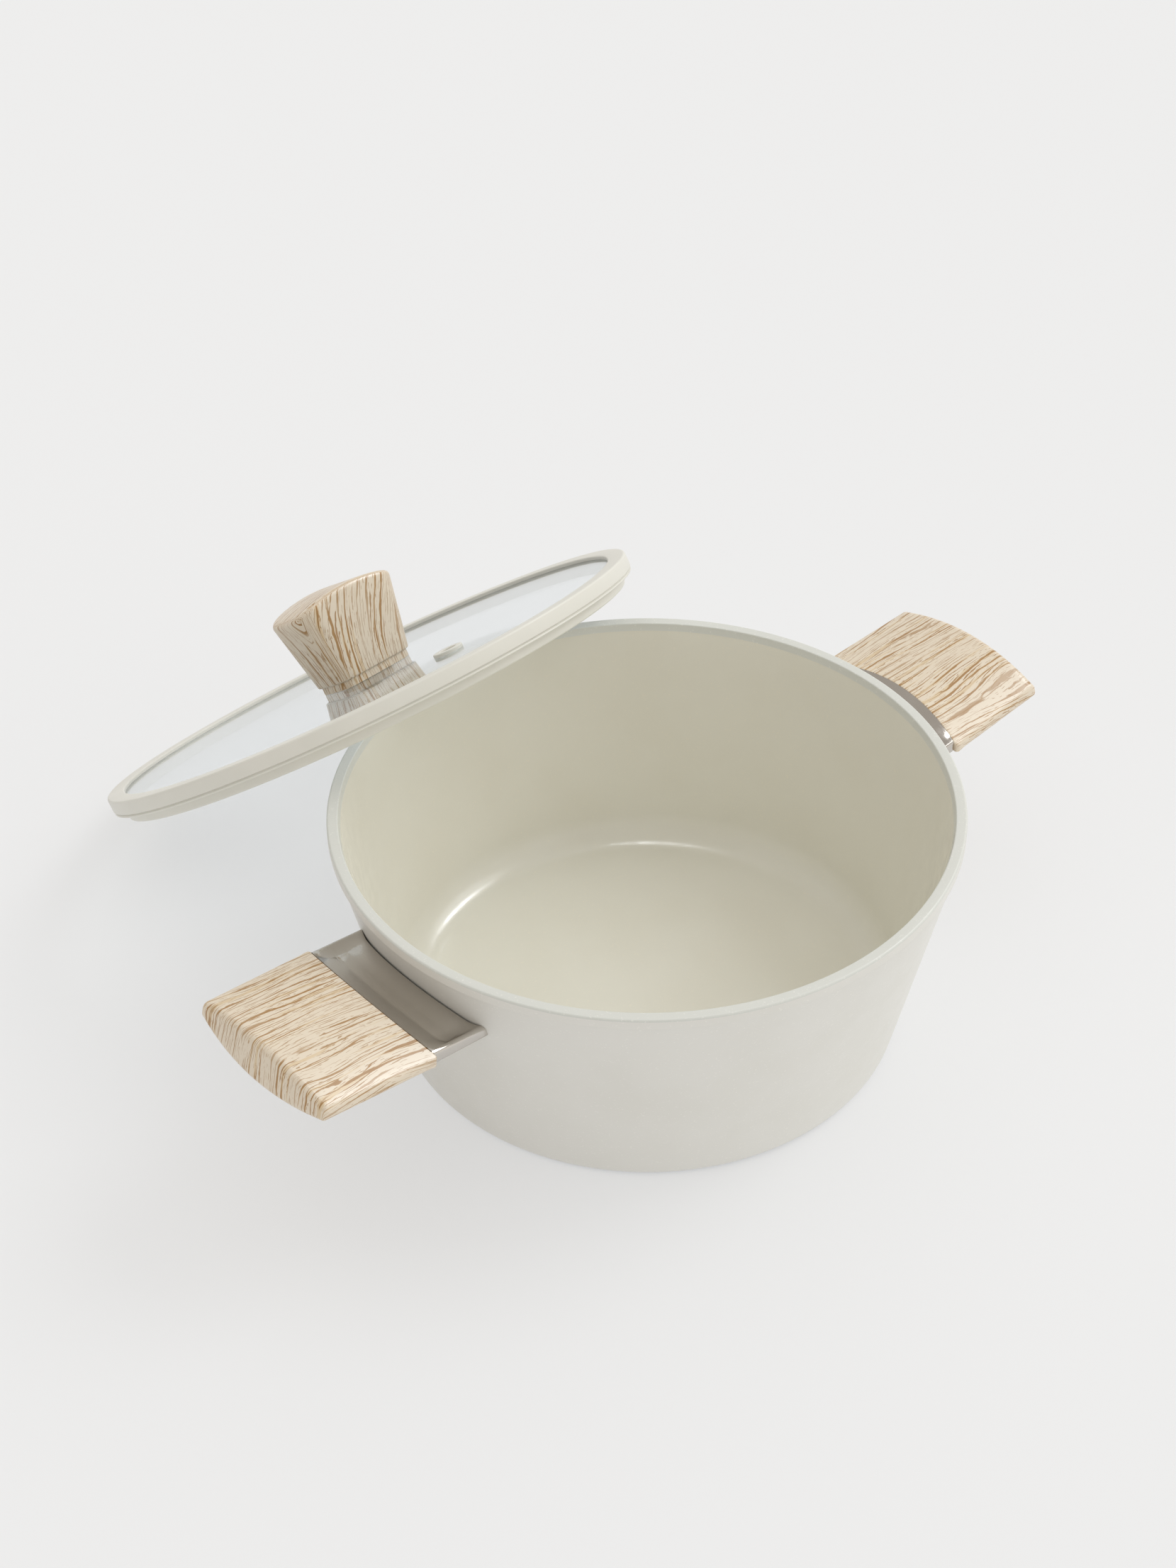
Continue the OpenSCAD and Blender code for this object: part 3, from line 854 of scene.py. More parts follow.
@dataclass
class Pot:
    """The coated pot body and the steel disc let into its underside."""

    rim_r: float = 124.5
    height: float = 103.5
    rim_wall: float = 4.5
    rim_band_h: float = 4.5
    rim_step: float = 1.1
    wall_lean: float = 21.9
    wall_t: float = 3.4
    bottom_t: float = 5.0
    outer_corner_r: float = 6.0
    inner_corner_r: float = 14.0
    rim_round: float = 0.9
    bare_foot_h: float = 0.7
    recess_chamfer: float = 0.25
    band_fillet_r: float = 0.2
    band_edge_r: float = 0.3
    lip_bevel: float = 0.55
    lip_depth: float = 3.2
    disc_margin: float = 11.5
    disc_t: float = 1.0
    disc_hole_r: float = 9.0
    groove_w: float = 1.5
    groove_d: float = 0.4
    groove_slope: float = 0.25
    disc_chamfer: float = 0.2
    disc_gap: float = 0.1
    groove_shares: tuple[float, ...] = (0.35, 0.65, 0.95)

    @property
    def wall_top_z(self) -> float:
        """Height where the wall meets the rim band."""
        return self.height - self.rim_band_h

    @property
    def foot_r(self) -> float:
        """Radius at which the wall's line would reach the table."""
        return self.rim_r - self.rim_step - self.wall_lean

    @property
    def lean(self) -> float:
        """Lean of the wall from upright, in radians."""
        return math.atan2(self.wall_lean, self.wall_top_z)

    @property
    def disc_r(self) -> float:
        """Radius of the steel disc."""
        return self.foot_r - self.disc_margin

    def outer_r(self, height: float) -> float:
        """Radius of the outer wall at a height."""
        return self.foot_r + height * math.tan(self.lean)

    def section(self) -> tuple[list, list]:
        """Section of the body, from the recess out, up, over the rim and down to the middle.

        Returns:
            Its points, and the finish number of the stretch after each.
        """
        lean = self.lean
        corner = self.outer_corner_r
        corner_x = self.foot_r + corner * math.tan(lean) - corner / math.cos(lean)
        inner_top = self.rim_r - self.rim_wall
        inner_foot = self.foot_r + self.bottom_t * math.tan(lean) - self.wall_t
        slope = math.atan2(inner_top - inner_foot, self.height - self.bottom_t)
        round_r = self.inner_corner_r
        inner_x = inner_foot + round_r * math.tan(slope) - round_r / math.cos(slope)
        points, finishes = [], []

        def run(stretch: list, finish: int) -> None:
            """Adds a stretch of the section with one finish."""
            points.extend(stretch)
            finishes.extend([finish] * len(stretch))

        bare, outside, rim, inside = 3, 0, 1, 2
        run([(0, self.disc_t), (self.disc_r, self.disc_t), (self.disc_r, self.recess_chamfer),
             (self.disc_r + self.recess_chamfer, 0)], bare)
        foot = arc((corner_x, corner), corner, -90, -math.degrees(lean), 14)
        run([spot for spot in foot if spot[1] < self.bare_foot_h], bare)
        run([spot for spot in foot if spot[1] >= self.bare_foot_h], outside)
        top = self.wall_top_z
        fillet, edge = self.band_fillet_r, self.band_edge_r
        run([(self.outer_r(z), z) for z in (20, 40, 60, 80, top - 1.2)], outside)
        run(arc((self.outer_r(top) + fillet, top - edge), fillet, 180, 90, 3), outside)
        run(arc((self.rim_r - edge, top + fillet), edge, -90, 0, 4), outside)
        run([(self.rim_r, self.height - self.rim_round - 0.6)], outside)
        run(arc((self.rim_r - self.rim_round, self.height - self.rim_round), self.rim_round,
                0, 90, 8), rim)
        bevel, depth = self.lip_bevel, self.lip_depth
        run([(inner_top + bevel + 0.8, self.height)], rim)
        run(arc((inner_top + bevel, self.height - bevel), bevel, 80, 180, 7), rim)
        run([(inner_top - depth * math.tan(slope), self.height - depth)], inside)
        run([(inner_foot + (z - self.bottom_t) * math.tan(slope), z)
             for z in (90, 75, 60, 45, 30, 22)], inside)
        run(arc((inner_x, self.bottom_t + round_r), round_r, -math.degrees(slope), -90, 18),
            inside)
        run([(r, self.bottom_t) for r in (70, 50, 30, 12, 0)], inside)
        return points, finishes

    def body(self) -> None:
        """Builds the coated body."""
        points, finishes = self.section()
        draft = turned(points, finishes, segments=288, closed=False)
        piece = draft.piece("pot_body", Matrix.Identity(4), sharp=50)
        fit(piece, Body.POT, ["pot_shell"],
            [COAT_OUTSIDE, COAT_RIM, COAT_INSIDE, BARE_ALUMINIUM])

    def disc(self) -> None:
        """Builds the steel disc with its turned grooves."""
        edge = self.disc_r - self.disc_gap
        chamfer = self.disc_chamfer
        section = [(self.disc_hole_r, self.disc_t), (self.disc_hole_r, chamfer),
                   (self.disc_hole_r + chamfer, 0)]
        for share in self.groove_shares:
            outer = self.disc_r * share
            inner = outer - self.groove_w
            section += [(inner, 0), (inner + self.groove_slope, self.groove_d),
                        (outer - self.groove_slope, self.groove_d), (outer, 0)]
        section += [(edge - chamfer, 0), (edge, chamfer), (edge, self.disc_t)]
        piece = turned(section, segments=240).piece("steel_base_disc", Matrix.Identity(4))
        fit(piece, Body.POT, ["base_disc"], [DISC_STEEL])

    def build(self) -> None:
        """Builds both pieces."""
        self.body()
        self.disc()


# ---- handles ----


@dataclass
class Handle:
    """One side handle: a drawn steel guard, a printed grip, and the hardware between them."""

    side: Side
    pot: Pot
    drop: float = 16.0
    tilt: float = 5.5
    guard_half_w: float = 37.4
    crown_rise: float = 6.5
    belly_sag: float = 3.4
    root_t: float = 14.6
    taper: float = 0.02
    guard_len: float = 21.0
    guard_t: float = 1.2
    roll_r: float = 1.6
    wall_clear: float = 0.04
    grip_clear: float = 0.02
    wall_tries: int = 8
    crown_steps: int = 130
    guard_rows: int = 40
    dish_d: float = 3.0
    dish_margin: float = 1.6
    dish_end: float = 7.0
    wall_d: float = 2.2
    dish_low: float = 0.4
    lip_start: float = 0.64
    lip_d: float = 2.8
    grip_len: float = 47.5
    grip_inner_half_w: float = 39.4
    grip_outer_half_w: float = 37.6
    inner_face_r: float = 130.0
    outer_face_r: float = 240.0
    edge_r: float = 2.6
    inner_edge_r: float = 0.5
    plan_corner_r: float = 2.2
    joint_corner_r: float = 1.6
    corner_step: float = 6.0
    outer_corner_span: float = 5.0
    inner_corner_span: float = 4.5
    end_slant: float = 3.0
    grain_bend: float = 0.0022
    grain_bend_from: float = 24.0
    grain_bend_x: float = 25.0
    underside_shift: float = 31.0
    tongue_half_w: float = 15.0
    tongue_t: float = 5.5
    tongue_reach: float = 25.0
    screw_inset: float = 15.0
    screw_half_pitch: float = 10.0
    screw_r: float = 2.5
    screw_head_h: float = 2.0
    washer_r: float = 4.75
    washer_t: float = 0.6
    gap: float = 0.2

    @property
    def crown_r(self) -> float:
        """Radius of the crown across the handle."""
        return (self.guard_half_w ** 2 + self.crown_rise ** 2) / (2 * self.crown_rise)

    @property
    def belly_r(self) -> float:
        """Radius of the underside across the handle."""
        return (self.guard_half_w ** 2 + self.belly_sag ** 2) / (2 * self.belly_sag)

    @property
    def grip_end(self) -> float:
        """Reach of the grip from the wall."""
        return self.guard_len + self.grip_len

    @property
    def stem(self) -> str:
        """First word of this side's names."""
        return self.side.name.lower()

    @property
    def root(self) -> tuple[float, float]:
        """Distance and height of the crown where it meets the wall."""
        height = self.pot.height - self.drop
        return self.pot.outer_r(height), height

    @property
    def place(self) -> Matrix:
        """The handle's frame: X out along the handle, Z out of its crown.

        Returns:
            The matrix from the handle's frame to the model's, in millimetres.
        """
        distance, height = self.root
        return (Matrix.Rotation(math.radians(self.side.value), 4, "Z")
                @ Matrix.Translation((distance, 0, height))
                @ Matrix.Rotation(math.radians(-self.tilt), 4, "Y"))

    def top(self, y: float) -> float:
        """Height of the crown."""
        return math.sqrt(self.crown_r ** 2 - y * y) - self.crown_r

    def top_normal(self, y: float) -> Vector:
        """Outward normal of the crown."""
        return Vector((0, y, self.top(y) + self.crown_r)).normalized()

    def bottom(self, x: float, y: float) -> float:
        """Height of the underside."""
        return self.belly_r - math.sqrt(self.belly_r ** 2 - y * y) - self.root_t - self.taper * x

    def bottom_normal(self, y: float) -> Vector:
        """Outward normal of the underside."""
        return Vector((0, y, -math.sqrt(self.belly_r ** 2 - y * y))).normalized()

    def joint_x(self, y: float) -> float:
        """Where the grip's hollow face meets the guard."""
        return self.guard_len - self.inner_face_r + math.sqrt(self.inner_face_r ** 2 - y * y)

    def end_x(self, y: float) -> float:
        """Where the grip's bowed outer face is."""
        return self.grip_end - self.outer_face_r + math.sqrt(self.outer_face_r ** 2 - y * y)

    def wall_x(self, y: float, z: float) -> float:
        """Finds the pot's wall from inside the handle's frame.

        Args:
            y: Place across the handle.
            z: Height in the handle's frame.

        Returns:
            How far out along the handle the wall is.
        """
        distance, height = self.root
        tilt = math.radians(self.tilt)
        x = 0.0
        for _ in range(self.wall_tries):
            out = distance + x * math.cos(tilt) - z * math.sin(tilt)
            up = height + x * math.sin(tilt) + z * math.cos(tilt)
            x -= math.hypot(out, y) - self.pot.outer_r(up)
        return x

    def dish(self, share: float, y: float) -> float:
        """Depth of the pressed dish.

        Args:
            share: Share of the way from the wall to the grip.
            y: Place across the handle.

        Returns:
            How far the crown is sunk there.
        """
        end = min(max((self.guard_half_w - self.dish_margin - abs(y)) / self.dish_end, 0.0), 1.0)
        if share < self.dish_low:
            depth = mix(self.wall_d, self.dish_d, smooth(share / self.dish_low))
        elif share < self.lip_start:
            depth = mix(self.dish_d, self.lip_d,
                        (share - self.dish_low) / (self.lip_start - self.dish_low))
        else:
            depth = mix(self.lip_d, 0.0, (share - self.lip_start) / (1 - self.lip_start))
        return depth * (1 - (1 - end) ** 2)

    # -- guard --

    def guard_loop(self) -> list[Vector]:
        """Cross-section of the guard before it is dished.

        Returns:
            The place of each point round the section, at x = 0: along the crown, down one side,
            back along the underside and up the other side.
        """
        half = self.guard_half_w
        inset = half - self.roll_r
        steps = self.crown_steps
        across = [-inset + 2 * inset * i / steps for i in range(steps + 1)]
        loop = [Vector((0, y, self.top(y))) for y in across]
        for sign in (1, -1):
            side = Vector((0, sign, 0))
            edge = rolled_edge(Vector((0, sign * half, self.top(half))),
                               self.top_normal(sign * half), side, self.roll_r, 6)
            edge += rolled_edge(Vector((0, sign * half, self.bottom(0, half))),
                                side, self.bottom_normal(sign * half), self.roll_r, 6)
            loop += edge if sign > 0 else edge[::-1]
            if sign > 0:
                loop += [Vector((0, y, self.bottom(0, y))) for y in reversed(across[::3])]
        return loop

    def guard(self) -> None:
        """Builds the guard: an outer and an inner skin, joined at both open ends."""
        spots = self.guard_loop()
        count = len(spots)
        rows = self.guard_rows
        draft = Draft()
        outer, inner = [], []
        for row in range(rows + 1):
            share = row / rows
            skin = []
            for spot in spots:
                start = self.wall_x(spot.y, spot.z) + self.wall_clear
                x = mix(start, self.joint_x(spot.y) - self.grip_clear, share)
                upper = spot.z > mix(self.bottom(0, spot.y), self.top(spot.y), 0.5)
                sunk = self.dish(share, spot.y) if upper else self.taper * x
                skin.append(Vector((x, spot.y, spot.z - sunk)))
            outer.append(skin)
            pressed = []
            for i, spot in enumerate(skin):
                along = skin[(i + 1) % count] - skin[i - 1]
                pressed.append(spot + Vector((0, along.z, -along.y)).normalized() * self.guard_t)
            inner.append(pressed)
        outer = [draft.ring(skin) for skin in outer]
        inner = [draft.ring(skin) for skin in inner]
        draft.skins(outer)
        draft.skins(inner[::-1])
        draft.skin(outer[-1], inner[-1])
        draft.skin(inner[0], outer[0])
        piece = draft.piece(self.stem + "_guard_sheet", self.place, sharp=60)
        fit(piece, Body.POT, [self.stem + "_flame_guard"], [GUARD_STEEL])

    # -- grip --

    def grip_outline(self) -> list[Vector]:
        """Draws the grip in plan, with its corners rounded.

        Returns:
            The outline's points, counter-clockwise, at height zero.
        """
        inner, outer = self.grip_inner_half_w, self.grip_outer_half_w
        near, far = self.joint_x(inner), self.end_x(outer)
        corners = [(far, -outer), (far, outer), (near, inner), (near, -inner)]
        radii = [self.plan_corner_r] * 2 + [self.joint_corner_r] * 2
        outline = []
        for i, (x, y) in enumerate(corners):
            corner = Vector((x, y, 0))
            step = self.corner_step
            end_face = Vector((self.end_x(abs(y) - step), y - math.copysign(step, y), 0))
            hollow = Vector((self.joint_x(abs(y) - step), y - math.copysign(step, y), 0))
            side = Vector((*corners[3 - i], 0))
            face = end_face if i < 2 else hollow
            before, after = (side, face) if i in (0, 2) else (face, side)
            outline += rounded_corner(before, corner, after, radii[i], 8)
            outline += self.grip_edge(i)
        return outline

    def grip_edge(self, edge: int) -> list[Vector]:
        """Draws one edge of the grip's outline, short of its corners.

        Args:
            edge: 0 for the outer end, 1 and 3 for the sides, 2 for the hollow inner face.

        Returns:
            Points along the edge, in the outline's order.
        """
        inner, outer = self.grip_inner_half_w, self.grip_outer_half_w
        if edge in (0, 2):
            reach = outer - self.outer_corner_span if edge == 0 else inner - self.inner_corner_span
            line = self.end_x if edge == 0 else self.joint_x
            steps = 48
            ys = [mix(-reach, reach, i / steps) for i in range(steps + 1)]
            if edge == 2:
                ys.reverse()
            return [Vector((line(y), y, 0)) for y in ys]
        sign = 1 if edge == 1 else -1
        near = Vector((self.joint_x(inner), sign * inner, 0))
        far = Vector((self.end_x(outer), sign * outer, 0))
        shares = [mix(0.1, 0.88, i / 24) for i in range(25)]
        points = [near.lerp(far, share) for share in shares]
        return points[::-1] if edge == 1 else points

    def slanted(self, spot: Vector) -> Vector:
        """Leans the outer end, so its lower edge stands further out than its top.

        Args:
            spot: A point of the upright grip.

        Returns:
            The point where it stands on the leaning grip.
        """
        start = self.guard_len + 0.45 * self.grip_len
        share = smooth((spot.x - start) / (self.grip_end - start))
        half = (self.top(spot.y) + self.bottom(spot.x, spot.y)) / 2
        level = (spot.z - half) / self.root_t
        return Vector((spot.x - self.end_slant * share * level, spot.y, spot.z))

    def grip_draft(self) -> Draft:
        """Lofts the grip between its crown and its underside, with rolled edges.

        Returns:
            The closed draft of the grip, before anything is cut from it.
        """
        outline = self.grip_outline()
        normals = plan_normals(outline)
        draft = Draft()
        steps = 7
        upper = [[] for _ in range(steps + 1)]
        lower = [[] for _ in range(steps + 1)]
        for spot, normal in zip(outline, normals):
            top, bottom = self.top(spot.y), self.bottom(spot.x, spot.y)
            into = smooth((spot.x - self.joint_x(spot.y) - 0.5) / 5.0)
            radius = min(mix(self.inner_edge_r, self.edge_r, into), 0.44 * (top - bottom))
            up = rolled_edge(Vector((spot.x, spot.y, top)), self.top_normal(spot.y), normal,
                             radius, steps)
            down = rolled_edge(Vector((spot.x, spot.y, bottom)), normal,
                               self.bottom_normal(spot.y), radius, steps)
            for i in range(steps + 1):
                upper[i].append(up[i])
                lower[i].append(down[i])
        middle = Vector((mix(self.guard_len, self.grip_end, 0.5), 0, 0))
        shares = [0.0, 0.12, 0.25, 0.4, 0.55, 0.7, 0.84, 0.95]
        rows = []
        for share in shares:
            rows.append([self.on_face(middle, spot, share, True) for spot in upper[0]])
        rows += upper
        rows += [[a.lerp(b, i / 4) for a, b in zip(upper[-1], lower[0])] for i in (1, 2, 3)]
        rows += lower
        for share in reversed(shares):
            rows.append([self.on_face(middle, spot, share, False) for spot in lower[-1]])
        rings = []
        for row in rows:
            spread = max((spot - row[0]).length for spot in row)
            kept = row[:1] if spread < 1e-6 else row
            rings.append(draft.ring([self.slanted(spot) for spot in kept]))
        draft.skins(rings[::-1])
        return draft

    def on_face(self, middle: Vector, edge: Vector, share: float, crown: bool) -> Vector:
        """Finds a point of the crown or the underside.

        Args:
            middle: Middle of the grip, in plan.
            edge: A point of the face's edge.
            share: Share of the way from the middle to the edge.
            crown: Whether the point is on the crown.

        Returns:
            The point.
        """
        spot = middle.lerp(Vector((edge.x, edge.y, 0)), share)
        height = self.top(spot.y) if crown else self.bottom(spot.x, spot.y)
        return Vector((spot.x, spot.y, height))

    def grain(self, spot: Vector, normal: Vector) -> tuple[float, float, float]:
        """Place of a point in the film's grain, which runs out along the handle.

        Args:
            spot: The point, in the handle's frame.
            normal: The outward normal there.

        Returns:
            Millimetres across the grain, along it, and a number that tells the sides apart.
        """
        drop = self.top(spot.y) - spot.z
        start = self.grain_bend_from
        edge = smooth((abs(spot.y) - start) / (self.guard_half_w - start))
        bend = edge * edge * self.grain_bend * (spot.x - self.grain_bend_x) ** 2
        across = spot.y - math.copysign(bend, spot.y)
        across += math.copysign(drop * 0.9 * smooth((abs(normal.y) - 0.35) / 0.4), spot.y)
        along = spot.x + drop
        if normal.z < -0.5:
            along = spot.x + self.underside_shift
        layer = 40.0 if self.side is Side.LEFT else 75.0
        return across + layer * 1.7 + 0.05 * spot.x, along, layer

    def grip(self) -> None:
        """Builds the grip, cuts its screw pockets and tongue slot, and lays its grain."""
        piece = self.grip_draft().piece(self.stem + "_ash_grip", self.place, sharp=32)
        screw_x = self.guard_len + self.screw_inset
        dished = self.dish_d + self.guard_t + self.gap
        tongue_top = self.top(self.tongue_half_w) - dished
        tongue_low = tongue_top - self.tongue_t
        washer_seat = self.bottom(screw_x, self.screw_half_pitch) + self.screw_head_h + self.washer_t
        cutters = []
        for y in (-self.screw_half_pitch, self.screw_half_pitch):
            spot = (screw_x, y)
            cutters.append(ring_cutter("pocket", self.washer_r + self.gap, -3 * self.root_t,
                                       washer_seat, self.place, spot))
            cutters.append(ring_cutter("shank", self.screw_r + self.gap, washer_seat - 1,
                                       tongue_low + 1, self.place, spot))
        slot_half = self.tongue_half_w + self.gap
        reach = self.guard_len + self.tongue_reach + self.gap
        slot = Draft()
        low = slot.ring([Vector((x, y, tongue_low - self.gap)) for x, y in
                         ((0, -slot_half), (reach, -slot_half), (reach, slot_half), (0, slot_half))])
        high = slot.ring([slot.points[i] + Vector((0, 0, self.tongue_t + 2 * self.gap))
                          for i in low])
        slot.skin(low, high)
        for face in (tuple(reversed(low)), tuple(high)):
            slot.faces.append(face)
            slot.finish_of.append(0)
        cutters.append(slot.piece("slot", self.place))
        carve(piece, cutters)
        piece.data.set_sharp_from_angle(angle=math.radians(32))
        lay_grain(piece, self.place, self.grain)
        fit(piece, Body.POT, [self.stem + "_grip"], [ASH_FILM])

    def hardware(self) -> None:
        """Dresses the lug, screws and washers."""
        dress(soften(self.stem + "_lug", 0.6), [CAST_ALUMINIUM])
        dress(soften(self.stem + "_grip_screws", 0.25), [SCREW_STEEL])
        dress(soften(self.stem + "_screw_washers", 0.12), [SCREW_STEEL])

    def build(self) -> None:
        """Builds the whole handle."""
        self.guard()
        self.grip()
        self.hardware()


def lay_grain(piece: bpy.types.Object, place: Matrix,
              rule: Callable[[Vector, Vector], tuple[float, float, float]]) -> None:
    """Writes each point's place in the printed grain.

    Args:
        piece: The piece that carries the print.
        place: The frame that the rule works in.
        rule: Gives across, along and layer for a point and its normal.
    """
    mesh = piece.data
    store = mesh.attributes.new("grain", "FLOAT_VECTOR", "POINT")
    back = place.inverted()
    turn = back.to_3x3()
    for vertex, normal in zip(mesh.vertices, mesh.vertex_normals):
        store.data[vertex.index].vector = rule(back @ (vertex.co / MM), turn @ normal.vector)


# ---- lid ----


@dataclass
class Lid:
    """The glass lid as it leans on the pot: glass, silicone rim, vent ring, knob and fixings."""

    pot: Pot
    plug_gap: float = 2.5
    flange_out: float = 4.9
    flange_h: float = 7.8
    rim_h: float = 12.0
    face_w: float = 8.0
    lip_h: float = 1.6
    skirt_w: float = 4.7
    glass_t: float = 4.6
    glass_bite: float = 4.0
    flange_round: float = 1.0
    vent_r: float = 68.0
    vent_flange_r: float = 6.5
    vent_hole_r: float = 3.6
    vent_glass_r: float = 4.6
    vent_flange_h: float = 1.5
    tilt: float = 36.0
    azimuth: float = 93.0
    lean_gap: float = 0.5
    glass_clear: float = 0.03
    lip_round: float = 0.6
    lip_crown: float = 0.08
    seam_depth: float = 0.9
    seam_high: float = 1.6
    seam_low: float = 1.2
    plug_round: float = 0.9
    skirt_round: float = 0.7
    vent_soft: float = 0.45
    vent_clear: float = 0.02

    @property
    def plug_r(self) -> float:
        """Radius of the plug that drops in the pot."""
        return self.pot.rim_r - self.pot.rim_wall - self.plug_gap

    @property
    def lid_r(self) -> float:
        """Radius of the flange."""
        return self.plug_r + self.flange_out

    @property
    def glass_low(self) -> float:
        """Height of the glass's underside."""
        return -self.lip_h - self.glass_t

    @property
    def place(self) -> Matrix:
        """The lid's frame: X level, Y up the slope and Z out of the glass.

        Returns:
            The matrix from the lid's frame to the model's, in millimetres.
        """
        tilt = math.radians(self.tilt)
        height = max(self.plug_r * math.sin(tilt) + self.rim_h * math.cos(tilt),
                     self.lid_r * math.sin(tilt) + self.flange_h * math.cos(tilt))
        over = (self.pot.height - height) * math.cos(tilt) - self.glass_low + self.lean_gap
        reach = self.pot.rim_r + over / math.sin(tilt)
        way = math.radians(self.azimuth)
        return (Matrix.Translation((reach * math.cos(way), reach * math.sin(way), height))
                @ Matrix.Rotation(math.radians(self.azimuth + 90), 4, "Z")
                @ Matrix.Rotation(tilt, 4, "X"))

    def rim(self) -> None:
        """Builds the silicone rim, with its lip over the glass and its plug below."""
        opening = self.lid_r - self.face_w
        slot_r = opening + self.glass_bite
        clear, lip = self.glass_clear, self.lip_round
        skirt_in = self.plug_r - self.skirt_w
        low, seat = -self.rim_h, -self.flange_h
        seam_r, soft = self.lid_r - self.seam_depth, self.skirt_round
        section = [(slot_r, self.glass_low - clear), (slot_r, clear - self.lip_h),
                   (opening, clear - self.lip_h)]
        section += arc((opening + lip, -lip), lip, 180, 90, 5)
        section += [(opening + 3.0, self.lip_crown), (self.lid_r - 3.4, 0.05)]
        section += arc((self.lid_r - self.flange_round, -self.flange_round), self.flange_round,
                       90, 0, 9)
        section += arc((self.lid_r - 0.3, seat + self.seam_high + 0.3), 0.3, 0, -90, 3)
        section += [(seam_r, seat + self.seam_high), (seam_r, seat + self.seam_low)]
        section += arc((self.lid_r - 0.8, seat + 0.5), 0.5, 70, -90, 5)
        section += arc((self.plug_r + 0.5, seat - 0.5), 0.5, 90, 180, 4)
        section += arc((self.plug_r - 1.0, low + self.plug_round), self.plug_round, 0, -90, 6)
        section += arc((skirt_in + soft, low + soft), soft, -90, -180, 5)
        section += [(skirt_in, self.glass_low - clear)]
        draft = turned(section[::-1], segments=288)
        piece = draft.piece("lid_silicone_rim", self.place, sharp=50)
        fit(piece, Body.LID, ["silicone_rim"], [RIM_SILICONE])

    def vent(self) -> None:
        """Builds the vent's silicone ring, like a grommet through the glass."""
        hole, bore, out = self.vent_hole_r, self.vent_glass_r - 0.05, self.vent_flange_r
        high, low = self.vent_flange_h - self.lip_h, self.glass_low - self.vent_flange_h
        soft, clear = self.vent_soft, self.vent_clear
        section = [(bore, self.glass_low - clear), (bore, clear - self.lip_h),
                   (out, clear - self.lip_h)]
        section += arc((out - soft, high - soft), soft, 0, 90, 4)
        section += arc((hole + soft, high - soft), soft, 90, 180, 4)
        section += arc((hole + soft, low + soft), soft, 180, 270, 4)
        section += arc((out - soft, low + soft), soft, -90, 0, 4)
        section += [(out, self.glass_low - clear)]
        spot = self.place @ Matrix.Translation((0, self.vent_r, 0))
        piece = turned(section, segments=72).piece("vent_ring", spot, sharp=50)
        fit(piece, Body.LID, ["vent_grommet"], [RIM_SILICONE])

    def glass(self) -> None:
        """Dresses the glass disc."""
        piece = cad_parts["glass_disc"]
        piece.data.shade_flat()
        dress(piece, [LID_GLASS])
        LOG.info("kept glass_disc")

    def build(self) -> None:
        """Builds the rim, vent and glass."""
        self.rim()
        self.vent()
        self.glass()


